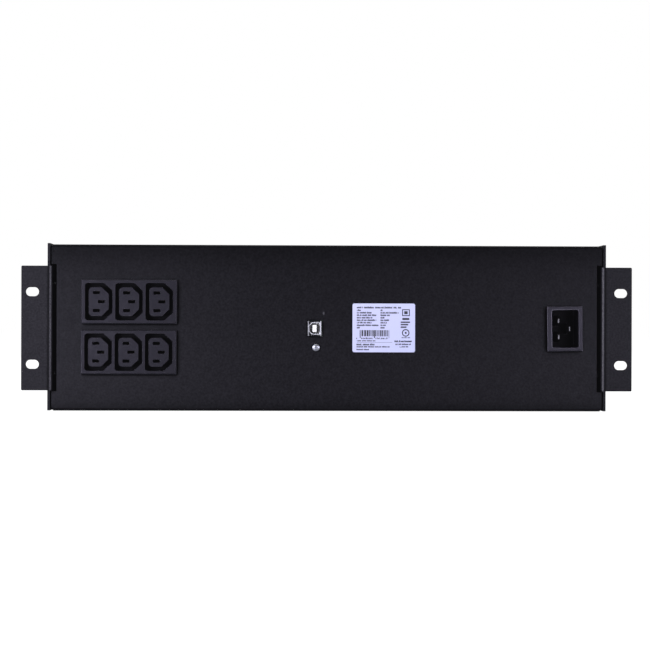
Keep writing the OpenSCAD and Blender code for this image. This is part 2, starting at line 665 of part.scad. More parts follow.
module trafo_bolt_holes()
    for (p = trafo_bolts) rod_y(2.6, trafo_y - 60, trafo_y + 60, p[0], p[1]);
module transformer_core() color("#5b5a58") difference() {
    block([trafo_x - trafo_w / 2, trafo_y - half_stack, trafo_z],
        [trafo_x + trafo_w / 2, trafo_y + half_stack, trafo_z + trafo_h]);
    // two winding windows
    for (s = [-1, 1]) translate([trafo_x + s * 1.5 * lam_a, trafo_y, trafo_z + trafo_h / 2])
        cube([lam_a, lam_stack + 2, 3 * lam_a], center = true);
    trafo_bolt_holes();
}
module transformer_winding() color("#b0752c") difference() {
    translate([trafo_x, trafo_y, trafo_z + trafo_h / 2 - 1.5 * lam_a + 1])
        linear_extrude(3 * lam_a - 2)
            round_rect(4 * lam_a - 3, lam_stack + 2 * lam_a - 3, 8);
    translate([trafo_x, trafo_y, trafo_z]) linear_extrude(trafo_h)
        round_rect(2 * lam_a + 1, lam_stack + 1, 0.4);
}
module transformer_brackets() color("#8f9092") for (s = [-1, 1]) difference() {
    x_low = trafo_x - trafo_w / 2;
    x_high = trafo_x + trafo_w / 2;
    z_low = z_floor + sheet_gap;
    wall = span(s, half_stack + 0.1, half_stack + 1.6);
    foot = span(s, half_stack + 0.1, half_stack + 16);
    union() {
        block([x_low, trafo_y + wall[0], z_low], [x_high, trafo_y + wall[1], z_floor + 19]);
        block([x_low, trafo_y + foot[0], z_low], [x_high, trafo_y + foot[1], z_floor + 1.6]);
    }
    trafo_bolt_holes();
    for (k = [-1, 1]) {
        p = foot_stud(s, k);
        rod_z(2.7, z_floor - 1, z_floor + 5, p[0], p[1]);
    }
}
module transformer_bolts() color("#9b9b99") for (p = trafo_bolts) {
    // the lower bolts also clamp the brackets
    seat = half_stack + (p[1] < trafo_z + trafo_h / 2 ? 1.75 : 0.1);
    union() {
        rod_y(2.5, trafo_y - seat, trafo_y + seat + 6, p[0], p[1]);
        translate([p[0], trafo_y - seat, p[1]]) rotate([90, 0, 0])
            cylinder(r = 4.6, h = 3.5, $fn = 6);
    }
    translate([p[0], trafo_y + seat, p[1]]) rotate([-90, 0, 0]) difference() {
        cylinder(r = 4.6, h = 4, $fn = 6);
        translate([0, 0, -1]) cylinder(r = 2.53, h = 6);
    }
}

// ---- studs on the floor -------------------------------------------------------
// x, y, stud radius, height of the nut's underside above the floor
studs = concat([for (s = [-1, 1], k = [-1, 1]) concat(foot_stud(s, k), [2.4, 1.7])],
    [for (p = strap_studs) concat(p, [1.95, 1.7])],
    [[175, 30, 1.95, 1.2]]);
module weld_studs() color("#b2b2b0")
    for (p = studs) rod_z(p[2], z_floor, z_floor + 11, p[0], p[1]);
module stud_nuts() color("#9b9b99")
    for (p = studs) translate([p[0], p[1], z_floor + p[3]]) difference() {
        cylinder(r = p[2] * 1.95, h = p[2] * 1.6, $fn = 6);
        translate([0, 0, -1]) cylinder(r = p[2] + 0.03, h = 9);
    }

// ---- power board ------------------------------------------------------------
pcb_x0 = -90;
pcb_x1 = 165;
pcb_y0 = 16;
pcb_y1 = 194;
pcb_z = -57;                      // underside
pcb_top = pcb_z + 1.6;
part_z = pcb_top + fit_gap;       // underside of the parts on the board
standoff_pts = [for (x = [pcb_x0 + 6, (pcb_x0 + pcb_x1) / 2, pcb_x1 - 6],
    y = [pcb_y0 + 6, pcb_y1 - 6]) [x, y]];
// near left corner of each heat sink, x, y
sink_pts = [[-40, 60], [20, 60]];
// capacitors: x, y, radius, height
cap_table = [
    [-72, 40, 12.5, 40], [-72, 70, 12.5, 40], [-72, 100, 12.5, 40], [-72, 130, 12.5, 40],
    [75, 170, 9, 32], [98, 170, 9, 32], [121, 170, 9, 32]];

module main_board() color("#1f5a34") difference() {
    block([pcb_x0, pcb_y0, pcb_z], [pcb_x1, pcb_y1, pcb_top]);
    for (p = standoff_pts) rod_z(clear_r, pcb_z - 1, pcb_z + 3, p[0], p[1]);
}
module insulation_sheet() color("#e6e3c8") difference() {
    block([pcb_x0 - 2, pcb_y0 - 2, z_floor], [pcb_x1 + 2, pcb_y1 + 2, z_floor + 0.3]);
    for (p = standoff_pts) rod_z(4, z_floor - 1, z_floor + 1, p[0], p[1]);
}
module board_standoffs() color("#c2a255")
    for (p = standoff_pts) translate([p[0], p[1], z_floor]) difference() {
        cylinder(r = 3.2, h = pcb_z - z_floor, $fn = 6);
        translate([0, 0, 1.5]) cylinder(r = tapped_r, h = 20);
    }
module board_screws() color("#9b9b99") for (p = standoff_pts)
    translate([p[0], p[1], pcb_top]) rotate([-90, 0, 0]) pan_screw(pcb_screw, 5.5);
// upright plates with eight fins towards +X
module heat_sinks() color("#8e9092")
    for (p = sink_pts) translate([p[0], p[1], part_z]) union() {
        block([0, 0, 0], [3.5, 100, 62]);
        for (k = [0:7]) block([3, 0, 2 + k * 8], [24, 100, 3.4 + k * 8]);
    }
// four on the -X face of each heat sink, with three legs down to the board
module power_transistors() color("#222224") for (p = sink_pts, k = [0:3])
    translate([p[0] - 5.2, p[1] + 8 + k * 23, pcb_z + 8]) difference() {
        union() {
            cube([5, 15.6, 20]);
            for (j = [0:2]) translate([2, 2.6 + j * 5.2 - 0.6, -6.2]) cube([0.6, 1.2, 7]);
        }
        translate([-1, 7.8, 16]) rotate([0, 90, 0]) cylinder(r = 1.7, h = 7);
    }
module capacitors() color("#27325c")
    for (c = cap_table) translate([c[0], c[1], part_z]) union() {
        cylinder(r = c[2], h = c[3]);
        cylinder(r = c[2] + 0.5, h = 3);
    }
module relays() color("#1b2a4a")
    for (i = [0:3]) block([72 + i * 22, 30, part_z], [91 + i * 22, 46, pcb_z + 17.5]);
module filter_choke() color("#9c5a22") translate([95, 85, part_z])
    rotate_extrude() translate([18, 8]) round_rect(15, 15.8, 4);
module fuse_holder() color("#d8d5c8") translate([130, 75, part_z]) difference() {
    block([0, 0, 0], [10, 34, 12]);
    block([1.6, 2, 4], [8.4, 32, 13]);
}
module control_board() color("#174a2b") block([-2.4, 60, part_z], [-0.8, 150, pcb_z + 56]);

// ---- fan -------------------------------------------------------------------
fan_x1 = x_inside;                // outer face, against the side plate
fan_x0 = fan_x1 - 25;
module fan_frame() color("#1c1c1e") difference() {
    union() {
        difference() {
            along_x(fan_x0, fan_x1) translate([fan_y, fan_z]) round_rect(fan_s, fan_s, 3);
            rod_x(38.4, fan_x0 - 1, fan_x1 + 1, fan_y, fan_z);
            // waist between the two mounting flanges
            for (i = [0:3]) translate([0, fan_y, fan_z]) rotate([i * 90, 0, 0])
                translate([fan_x0 + 4, 28, 39.2]) cube([17, 20, 8]);
        }
        // hub, motor core and four struts
        rod_x(16, fan_x1 - 3, fan_x1, fan_y, fan_z);
        rod_x(14.6, fan_x0 + 9, fan_x1 - 2, fan_y, fan_z);
        for (turn = [20, 110, 200, 290]) translate([0, fan_y, fan_z]) rotate([turn, 0, 0])
            translate([fan_x1 - 3, -1.6, 14]) cube([3, 3.2, 25.2]);
    }
    rod_x(1.55, fan_x0 + 5, fan_x1 - 4, fan_y, fan_z);
    for (p = fan_pts) rod_x(2.05, fan_x0 - 1, fan_x1 + 1, p[0], p[1]);
}
module fan_rotor() color("#2a2a2d") translate([0, fan_y, fan_z]) union() {
    // cup and shaft
    difference() {
        rod_x(17.4, fan_x0 + 3, fan_x0 + 20, 0, 0);
        rod_x(15.6, fan_x0 + 5, fan_x0 + 21, 0, 0);
    }
    rod_x(1.5, fan_x0 + 4, fan_x1 - 5, 0, 0);
    // slanted blades, trimmed to a ring
    for (i = [0:fan_blades - 1]) rotate([i * 360 / fan_blades, 0, 0]) intersection() {
        difference() {
            rod_x(37.6, fan_x0 + 1, fan_x1 - 4, 0, 0);
            rod_x(17, fan_x0, fan_x1, 0, 0);
        }
        translate([fan_x0 + 11.5, 0, 17]) rotate([0, 0, 38])
            translate([-0.7, -12, -1]) cube([1.4, 24, 26]);
    }
}
module fan_screws() color("#1e1e20") for (p = fan_pts) on_side(1, p) csk_screw(fan_screw, 12);

// ---- operator controls -------------------------------------------------------
lens_x = [for (i = [0:3]) control_x - 15 + i * 10];
lens_r = 2;
module power_button() color("#c8c9cb") union() {
    y_back = bezel_y1 - 5.2;
    // cap with a dished face, retaining flange, stem and plunger
    difference() {
        rod_y(btn_r, y_back, bezel_y1 + 1.2, control_x, btn_z);
        rod_y(btn_r - 3, bezel_y1 + 0.8, bezel_y1 + 2, control_x, btn_z);
    }
    rod_y(btn_r + 1.6, y_back, bezel_y1 - 2.8, control_x, btn_z);
    rod_y(2, side_y1 + 8.5 + btn_travel, bezel_y1 - 5, control_x, btn_z);
    rod_y(1.3, side_y1 + 8.3, side_y1 + 8.6 + btn_travel, control_x, btn_z);
}
module button_switch() color("#232325") difference() {
    block([control_x - 3, side_y1 + 5.05, btn_z - 3], [control_x + 3, side_y1 + 8.4, btn_z + 3]);
    rod_y(1.5, side_y1 + 5.9, side_y1 + 9, control_x, btn_z);
}

// coil spring around the stem: an eight-sided section swept along a helix
coil_turns = 3.5;
coil_r = 5.4;
coil_wire_r = 0.35;
coil_y0 = side_y1 + 5.5;
coil_y1 = bezel_y1 - 5.65;
coil_steps = 56;
coil_hub = (coil_steps + 1) * 8;  // index of the first end's centre point
// point at fraction t of the coil, at a radius from its axis and shifted by dy
function coil_point(t, radius, dy) = [
    control_x + radius * cos(360 * coil_turns * t),
    coil_y0 + (coil_y1 - coil_y0) * t + dy,
    btn_z + radius * sin(360 * coil_turns * t)];
function coil_skin(t, angle) =
    coil_point(t, coil_r + coil_wire_r * cos(angle), coil_wire_r * sin(angle));
// index of skin point k in section i
function coil_index(i, k) = i * 8 + k % 8;
module button_spring() color("#b9b9b6") polyhedron(
    points = concat([for (i = [0:coil_steps], k = [0:7]) coil_skin(i / coil_steps, k * 45)],
        [coil_point(0, coil_r, 0), coil_point(1, coil_r, 0)]),
    faces = concat(
        [for (i = [0:coil_steps - 1], k = [0:7])
            [coil_index(i, k), coil_index(i + 1, k), coil_index(i + 1, k + 1)]],
        [for (i = [0:coil_steps - 1], k = [0:7])
            [coil_index(i, k), coil_index(i + 1, k + 1), coil_index(i, k + 1)]],
        [for (k = [0:7]) [coil_hub, coil_index(0, k), coil_index(0, k + 1)]],
        [for (k = [0:7])
            [coil_hub + 1, coil_index(coil_steps, k + 1), coil_index(coil_steps, k)]]));

module indicator_board() color("#1f5a34") difference() {
    block([control_x - 26, side_y1 + 3.4, -39], [control_x + 26, side_y1 + 5, 39]);
    for (p = indicator_pts) rod_y(1.3, side_y1 + 2, side_y1 + 6, p[0], p[1]);
}
module indicator_lenses() color("#5fae6a") for (x = lens_x) union() {
    rod_y(lens_r, bezel_y1 - 4, bezel_y1 - 0.3, x, lens_z);
    rod_y(lens_r + 0.7, bezel_y1 - 5, bezel_y1 - 2.6, x, lens_z);
}

// ---- wiring ------------------------------------------------------------------
wire_end_z = pcb_top + 0.1;       // wires end just above the board
// from the inlet tabs down to the board
module mains_wires() for (k = [0:2]) {
    x = inlet_x + pin_pts[k][0];
    z = inlet_z + pin_pts[k][1];
    x_end = 150 - k * 8;
    y_end = 54 + k * 7;
    color(["#7a4a2a", "#2a4f8f", "#3f7f3a"][k])
        wire([[x, 43.1, z], [x, y_end, z], [x_end, y_end, z], [x_end, y_end, wire_end_z]],
            radius = 1.6, bend = 4);
}
// from the two end terminals of the battery row, over the top and down to the board
module battery_wires() {
    x_red = batt_x[3] + tab_dx;
    x_black = batt_x[0] - tab_dx;
    z_start = batt_top + 12.1;
    z_run = z_start + 9;
    for (x = [x_red, x_black]) color("#8c2226") push_on(x);
    color("#b02428")
        wire([[x_red, tab_y, z_start], [x_red, tab_y, z_run], [x_red, 182, z_run],
            [x_red, 182, wire_end_z]], radius = 2.4, bend = 6);
    color("#1c1c1e")
        wire([[x_black, tab_y, z_start], [x_black, tab_y, z_run], [x_black, 176, z_run],
            [-66, 176, z_run], [-66, 176, wire_end_z]], radius = 2.4, bend = 6);
}

main_shell();
left_side_plate();
right_side_plate();
front_plate();
front_bezel();
left_rack_ear();
right_rack_ear();
ear_screws();
side_plate_screws();
front_plate_screws();
bezel_screws();
outlet_strip_upper();
outlet_strip_lower();
outlet_contacts_upper();
outlet_contacts_lower();
inlet_body();
inlet_pins();
usb_shell();
usb_insert();
usb_contacts();
usb_board();
usb_bracket();
usb_panel_screw();
usb_board_screw();
rating_label();
battery_1();
battery_2();
battery_3();
battery_4();
battery_terminals();
battery_jumpers();
battery_strap();
battery_pads();
transformer_core();
transformer_winding();
transformer_brackets();
transformer_bolts();
weld_studs();
stud_nuts();
main_board();
insulation_sheet();
board_standoffs();
board_screws();
heat_sinks();
power_transistors();
capacitors();
relays();
filter_choke();
fuse_holder();
control_board();
fan_frame();
fan_rotor();
fan_screws();
power_button();
button_switch();
button_spring();
indicator_board();
indicator_lenses();
mains_wires();
battery_wires();
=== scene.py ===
"""Looks for a rack-mounted power supply: materials, edge rounds, label print and studio.

The connector panel lies near y = 0 and faces -Y, towards the camera. The body runs back
along +Y, X goes across the rack to the right, +Z is up. Lengths are metres, unless a name
or comment says mm.
"""
import json
import math
import random
from functools import cached_property

import bmesh
import bpy
from mathutils import Matrix, Vector


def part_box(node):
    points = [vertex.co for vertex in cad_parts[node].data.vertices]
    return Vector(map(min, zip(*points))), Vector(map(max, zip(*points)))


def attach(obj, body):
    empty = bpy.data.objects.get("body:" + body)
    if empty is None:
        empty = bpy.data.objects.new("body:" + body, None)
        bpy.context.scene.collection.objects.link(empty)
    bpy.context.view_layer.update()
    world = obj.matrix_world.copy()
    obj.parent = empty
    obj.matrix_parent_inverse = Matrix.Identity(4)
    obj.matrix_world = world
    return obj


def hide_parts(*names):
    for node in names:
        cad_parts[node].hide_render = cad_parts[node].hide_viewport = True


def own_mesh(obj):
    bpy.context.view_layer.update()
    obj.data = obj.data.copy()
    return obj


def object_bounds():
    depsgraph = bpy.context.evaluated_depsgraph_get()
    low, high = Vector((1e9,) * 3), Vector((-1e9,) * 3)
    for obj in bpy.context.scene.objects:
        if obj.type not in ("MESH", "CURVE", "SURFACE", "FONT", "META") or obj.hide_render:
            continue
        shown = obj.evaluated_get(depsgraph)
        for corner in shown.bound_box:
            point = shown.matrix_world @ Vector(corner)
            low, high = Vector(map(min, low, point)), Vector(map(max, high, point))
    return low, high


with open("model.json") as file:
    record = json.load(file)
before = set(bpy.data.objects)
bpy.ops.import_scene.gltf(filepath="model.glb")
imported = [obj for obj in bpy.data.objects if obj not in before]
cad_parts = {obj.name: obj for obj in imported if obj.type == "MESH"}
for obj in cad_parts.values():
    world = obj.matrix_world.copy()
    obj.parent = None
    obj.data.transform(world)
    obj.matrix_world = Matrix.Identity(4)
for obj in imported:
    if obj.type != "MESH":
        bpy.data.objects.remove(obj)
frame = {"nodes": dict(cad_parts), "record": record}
cad_lo, cad_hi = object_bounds()
NODES = frame["nodes"]
MM = 0.001


# ---------------------------------------------------------------- material tools
def srgb(*rgb):
    """8-bit display values to linear, with alpha."""
    out = []
    for value in rgb:
        value /= 255.0
        out.append(value / 12.92 if value <= 0.04045 else ((value + 0.055) / 1.055) ** 2.4)
    return (*out, 1.0)


def tint(colour, factor):
    return (*(min(1, channel * factor) for channel in colour[:3]), 1.0)


class Shader:
    """One material, with short calls for its nodes.

    Texture sizes are in mm and bump depths in micrometres. Positions read from xyz() are
    in metres. A span is a (low, high) pair.
    """

    def __init__(self, name):
        self.material = bpy.data.materials.new(name)
        self.material.use_nodes = True
        self.tree = self.material.node_tree
        self.tree.nodes.clear()
        self.surface = self.add("ShaderNodeOutputMaterial").inputs["Surface"]
        self.principled = self.add("ShaderNodeBsdfPrincipled")
        self.put(self.surface, self.principled.outputs[0])

    @cached_property
    def position(self):
        return self.add("ShaderNodeTexCoord").outputs["Object"]

    def add(self, kind, **props):
        node = self.tree.nodes.new(kind)
        for key, value in props.items():
            setattr(node, key, value)
        return node

    def put(self, socket, value):
        """Link a socket, or store a plain value."""
        if isinstance(value, bpy.types.NodeSocket):
            self.tree.links.new(value, socket)
        else:
            socket.default_value = value

    def set(self, **values):
        """Inputs of the principled shader, with underscores for spaces."""
        for key, value in values.items():
            self.put(self.principled.inputs[key.replace("_", " ")], value)

    def noise(self, size, detail=2.0, rough=0.5, vec=None):
        node = self.add("ShaderNodeTexNoise")
        self.put(node.inputs["Vector"], vec or self.position)
        node.inputs["Scale"].default_value = 1000.0 / size
        node.inputs["Detail"].default_value = detail
        node.inputs["Roughness"].default_value = rough
        return node.outputs[0]

    def cells(self, size, feature="F1", output="Distance", jitter=1.0):
        node = self.add("ShaderNodeTexVoronoi", feature=feature)
        self.put(node.inputs["Vector"], self.position)
        node.inputs["Scale"].default_value = 1000.0 / size
        node.inputs["Randomness"].default_value = jitter
        return node.outputs[output]

    def stretch(self, scale, turn=(0, 0, 0)):
        """Position scaled per axis; a small scale draws a texture out along that axis."""
        node = self.add("ShaderNodeMapping")
        self.put(node.inputs["Vector"], self.position)
        node.inputs["Scale"].default_value = scale
        node.inputs["Rotation"].default_value = turn
        return node.outputs[0]

    def xyz(self, vec=None):
        node = self.add("ShaderNodeSeparateXYZ")
        self.put(node.inputs[0], vec or self.position)
        return node.outputs

    def calc(self, operation, *values, clamp=False):
        node = self.add("ShaderNodeMath", operation=operation, use_clamp=clamp)
        for socket, value in zip(node.inputs, values):
            self.put(socket, value)
        return node.outputs[0]

    def plus(self, a, b):
        return self.calc("ADD", a, b)

    def minus(self, a, b):
        return self.calc("SUBTRACT", a, b)

    def times(self, a, b):
        return self.calc("MULTIPLY", a, b)

    def smaller(self, a, b):
        return self.calc("MINIMUM", a, b)

    def larger(self, a, b):
        return self.calc("MAXIMUM", a, b)

    def size_of(self, value):
        return self.calc("ABSOLUTE", value)

    def fit(self, value, span, to=(0.0, 1.0)):
        """Map one span onto another, held at both ends."""
        node = self.add("ShaderNodeMapRange", clamp=True)
        self.put(node.inputs[0], value)
        for i, limit in enumerate((*span, *to), 1):
            node.inputs[i].default_value = limit
        return node.outputs[0]

    def curve(self, value, points):
        node = self.add("ShaderNodeFloatCurve")
        self.put(node.inputs[1], value)
        curve_points = node.mapping.curves[0].points
        for i, point in enumerate(points):
            if i < 2:
                curve_points[i].location = point
            else:
                curve_points.new(*point)
        node.mapping.update()
        return node.outputs[0]

    def mix(self, factor, a, b):
        node = self.add("ShaderNodeMix", data_type="RGBA", blend_type="MIX")
        self.put(node.inputs[0], factor)
        self.put(node.inputs[6], a)
        self.put(node.inputs[7], b)
        return node.outputs[2]

    def mix_shader(self, factor, a, b):
        node = self.add("ShaderNodeMixShader")
        for socket, value in zip(node.inputs, (factor, a, b)):
            self.put(socket, value)
        return node.outputs[0]

    def scaled(self, colour, factor):
        node = self.add("ShaderNodeVectorMath", operation="SCALE")
        self.put(node.inputs[0], colour)
        self.put(node.inputs["Scale"], factor)
        return node.outputs[0]

    def bump(self, height, depth):
        node = self.add("ShaderNodeBump")
        node.inputs["Strength"].default_value = 1.0
        node.inputs["Distance"].default_value = depth * 1e-6
        self.put(node.inputs["Height"], height)
        return node.outputs[0]

    def vary(self, base, amount, sizes=(70.0, 6.0, 0.9)):
        """The base colour made a little lighter and darker at three scales."""
        total = None
        for size, share in zip(sizes, (0.45, 0.3, 0.25)):
            part = self.times(self.minus(self.noise(size), 0.5), share)
            total = part if total is None else self.plus(total, part)
        factor = self.calc("MULTIPLY_ADD", total, 2.6 * amount, 1.0)
        return self.scaled(base if isinstance(base, bpy.types.NodeSocket) else base[:3], factor)

    def patches(self, colour, other, amount, size, detail, span, rough=0.7):
        """Another colour laid over in noise patches; span sets their cover and softness."""
        spots = self.fit(self.noise(size, detail, rough), span)
        return self.mix(self.times(spots, amount), colour, other)

    def uneven(self, rough, spread, size=9.0):
        """Roughness that wanders by spread to both sides."""
        to = (max(0.02, rough - spread), min(1.0, rough + spread))
        return self.fit(self.noise(size, detail=4.0, rough=0.6), (0.3, 0.7), to)


# ---------------------------------------------------------------- powder coat
BLACK = srgb(9.2, 8.5, 12.1)
EAR_BLACK = srgb(14.6, 13.8, 18.3)
PANEL_ROUGH = 0.49
POWDER_SPECULAR = 0.1225
SCUFF_X, SCUFF_Z = -0.0032, 0.0122
# place across the ear bend, and the painted light as a share of the gain: a painted highlight
# on the round of the bend and a painted dark line beside it
BEND_SPAN = (0.216, 0.224)
BEND_GAIN = 5.0
BEND_PAINTED_LIGHT = (
    (0.0, 0.2), (0.15, 0.2), (0.21, 0.4), (0.27, 0.9), (0.36, 1.0), (0.42, 0.3),
    (0.47, 0.09), (0.55, 0.08), (0.62, 0.14), (0.7, 0.19), (1.0, 0.2),
)
# place up the connector panel, and the brightness of the painted shade, darker towards the
# folded top and bottom edges
PANEL_SPAN = (-0.0652, 0.0662)
PANEL_PAINTED_SHADE = (
    (0.0, 0.62), (0.03, 0.77), (0.08, 1.0), (0.2, 1.02), (0.5, 0.93),
    (0.8, 0.83), (0.9, 0.67), (0.955, 0.53), (1.0, 0.48),
)
# depth along Y over which marks on the panel face fade out
FACE_FADE = (0.0007, 0.0012)


def powder_film(name, base, rough, edge_wear=0, grain=0.55,
                shine_span=(0.64, 1.36), specular_tint=(0.98, 0.96, 1.06, 1)):
    """Pimpled film with a soft sheen; returns the shader, its colour and its shine."""
    mat = Shader(name)
    pimples = mat.times(mat.cells(grain, "SMOOTH_F1"), 0.7)
    fine = mat.times(mat.noise(grain * 0.55, detail=3.0, rough=0.6), 0.5)
    mottle = mat.noise(1.5, detail=2.0, rough=0.55)
    relief = mat.plus(mat.plus(pimples, fine), mat.times(mottle, 2.4))
    colour = mat.vary(base, 0.16, sizes=(90.0, 7.0, 0.8))
    # pale grit
    colour = mat.patches(colour, tint(base, 2.4), 0.28, size=0.7, detail=1.0,
                         span=(0.62, 0.75), rough=0.5)
    if edge_wear:
        colour = mat.patches(colour, srgb(104, 103, 108), edge_wear, size=3.5, detail=5.0,
                             span=(0.42, 0.62))
    colour = mat.mix(mat.fit(mottle, (0.35, 0.7)), tint(base, 0.8), colour)
    mottled_rough = mat.fit(mottle, (0.3, 0.7), to=(-0.05, 0.05))
    mat.set(
        Roughness=mat.plus(mat.uneven(rough, 0.04), mottled_rough),
        Normal=mat.bump(relief, depth=24),
        Specular_Tint=specular_tint,
    )
    shine = mat.times(mat.fit(mottle, (0.28, 0.72), to=shine_span), POWDER_SPECULAR)
    return mat, colour, shine


def powder(name, base, rough, edge_wear=0):
    """Fine-textured powder coat, rubbed lighter where it is worn."""
    mat, colour, shine = powder_film(name, base, rough, edge_wear)
    mat.set(Base_Color=colour, Specular_IOR_Level=shine)
    return mat.material


def ear_powder(name, base, rough, edge_wear=0):
    """A painted highlight on the round of the bend and a painted dark line along the bend next
    to it.
    """
    mat, colour, shine = powder_film(
        name, base, rough, edge_wear, grain=0.5,
        shine_span=(0.55, 1.45), specular_tint=(0.99, 0.965, 1.03, 1))
    across = mat.fit(mat.size_of(mat.xyz()[0]), BEND_SPAN)
    # painted highlight and painted shade: colour and reflection scaled across the bend
    gain = mat.times(mat.curve(across, BEND_PAINTED_LIGHT), BEND_GAIN)
    mat.set(
        Base_Color=mat.scaled(colour, mat.smaller(gain, 1.6)),
        Specular_IOR_Level=mat.times(gain, shine),
    )
    return mat.material


def panel_powder(name):
    """Painted shade, darker towards the folded top and bottom edges of the connector panel."""
    mat, colour, shine = powder_film(name, BLACK, PANEL_ROUGH)
    _, y, z = mat.xyz()
    # painted shade: colour and reflection darken towards the top and bottom folds
    film = mat.curve(mat.fit(z, PANEL_SPAN), PANEL_PAINTED_SHADE)
    # the curve holds near the panel, an even 0.8 further back
    near = mat.fit(y, (0.004, 0.03), to=(1.0, 0.0))
    gain = mat.plus(mat.times(film, near), mat.times(0.8, mat.minus(1.0, near)))

    # one small upright scuff with a ragged edge
    off_x = mat.times(mat.minus(mat.xyz()[0], SCUFF_X), 1.8)
    off_z = mat.minus(mat.xyz()[2], SCUFF_Z)
    far = mat.calc("SQRT", mat.plus(mat.times(off_x, off_x), mat.times(off_z, off_z)))
    ragged = mat.minus(mat.noise(0.8, detail=3.0, rough=0.7), 0.5)
    far = mat.plus(far, mat.times(ragged, 0.0012))
    spot = mat.times(mat.fit(far, (0.0006, 0.0017), to=(0.55, 0.0)),
                     mat.fit(y, FACE_FADE, to=(1.0, 0.0)))
    colour = mat.mix(spot, colour, srgb(92, 91, 96))

    # soft contact shade on the face, sampled towards the nearer key light
    towards = mat.add("ShaderNodeCombineXYZ")
    mat.put(towards.inputs[0], mat.fit(mat.xyz()[0], (0.05, 0.07), to=(-0.85, 0.95)))
    towards.inputs[1].default_value = -0.75
    towards.inputs[2].default_value = 0.55
    unit = mat.add("ShaderNodeVectorMath", operation="NORMALIZE")
    mat.put(unit.inputs[0], towards.outputs[0])
    occlusion = mat.add("ShaderNodeAmbientOcclusion", samples=8)
    occlusion.inputs["Distance"].default_value = 0.0044
    mat.put(occlusion.inputs["Normal"], unit.outputs[0])
    shade = mat.fit(occlusion.outputs["AO"], (0.4, 0.7), to=(0.08, 1.0))
    gain = mat.times(gain, mat.larger(shade, mat.fit(y, FACE_FADE)))
    mat.set(Base_Color=mat.scaled(colour, gain), Specular_IOR_Level=mat.times(gain, shine))
    return mat.material


# ---------------------------------------------------------------- plastics and metals
def moulded(name, base, rough, edge_wear=0, grain=0.3, depth=5, specular=0.5, vary=0.1,
            coat=0.0, cavity_painted_shade=None):
    """Moulded plastic: spark-eroded texture, faint flow marks, paler rubbed edges.

    The last argument sets the brightness that painted shade leaves deep inside the socket
    cavities of a connector.
    """
    mat = Shader(name)
    texture = mat.times(mat.noise(grain, detail=3.0, rough=0.65), 0.8)
    relief = mat.plus(texture, mat.times(mat.noise(grain * 9), 0.5))
    colour = mat.vary(base, vary, sizes=(40.0, 5.0, 0.6))
    if edge_wear:
        colour = mat.patches(colour, tint(base, 2.6), edge_wear, size=2.2, detail=4.0,
                             span=(0.4, 0.65))
        if cavity_painted_shade:
            specular, rough = 1.6, 0.33
    if cavity_painted_shade:
        # painted shade: darker and with less reflection deeper in the cavity
        gain = mat.fit(mat.xyz()[1], (-0.0014, 0.004), to=(1.0, cavity_painted_shade))
        colour = mat.scaled(colour, gain)
        specular = mat.times(gain, specular)
        mat.set(Specular_Tint=(0.98, 0.93, 1.1, 1))
    mat.set(
        Base_Color=colour,
        Roughness=mat.uneven(rough, 0.06, size=5.0),
        Normal=mat.bump(relief, depth),
        Specular_IOR_Level=specular,
    )
    if coat:
        mat.set(Coat_Weight=coat, Coat_Roughness=0.2)
    return mat.material


def metal(name, base, rough, tarnish=None, streaks=(1, 0.25, 1), edge_wear=0, metallic=1.0,
          depth=2, spangle=0.0, painted_shade_span=None):
    """Plated or bare metal: fine streaks and scratches, uneven tarnish.

    The last argument is a span along Y over which painted shade takes the metal from black to
    clean.
    """
    mat = Shader(name)
    streak = mat.noise(0.22, detail=3.0, rough=0.7, vec=mat.stretch(streaks))
    scratched = mat.stretch((1, 0.08, 1), turn=(0.3, 0.5, 0.9))
    scratch = mat.fit(mat.noise(0.35, vec=scratched), (0.6, 0.72))
    relief = mat.plus(streak, mat.times(scratch, -0.6))
    colour = mat.vary(base, 0.09, sizes=(30.0, 4.0, 0.5))
    if spangle:
        cell = mat.xyz(mat.cells(4.5, output="Color"))[0]
        colour = mat.mix(spangle, colour, mat.mix(cell, tint(base, 0.72), tint(base, 1.15)))
    if tarnish:
        colour = mat.patches(colour, tarnish, 0.55, size=5.0, detail=5.0, span=(0.45, 0.75))
    if edge_wear:
        colour = mat.patches(colour, srgb(168, 168, 170), edge_wear, size=1.6, detail=4.0,
                             span=(0.35, 0.6))
    # painted shade: black towards the panel, where the contacts sit in the socket cavities
    if painted_shade_span:
        colour = mat.scaled(colour, mat.fit(mat.xyz()[1], painted_shade_span, to=(0.03, 1.0)))
    uneven = mat.uneven(rough, 0.07, size=3.0)
    mat.set(
        Base_Color=colour,
        Roughness=mat.calc("ADD", uneven, mat.times(scratch, 0.12), clamp=True),
        Metallic=metallic,
        Normal=mat.bump(relief, depth),
    )
    return mat.material


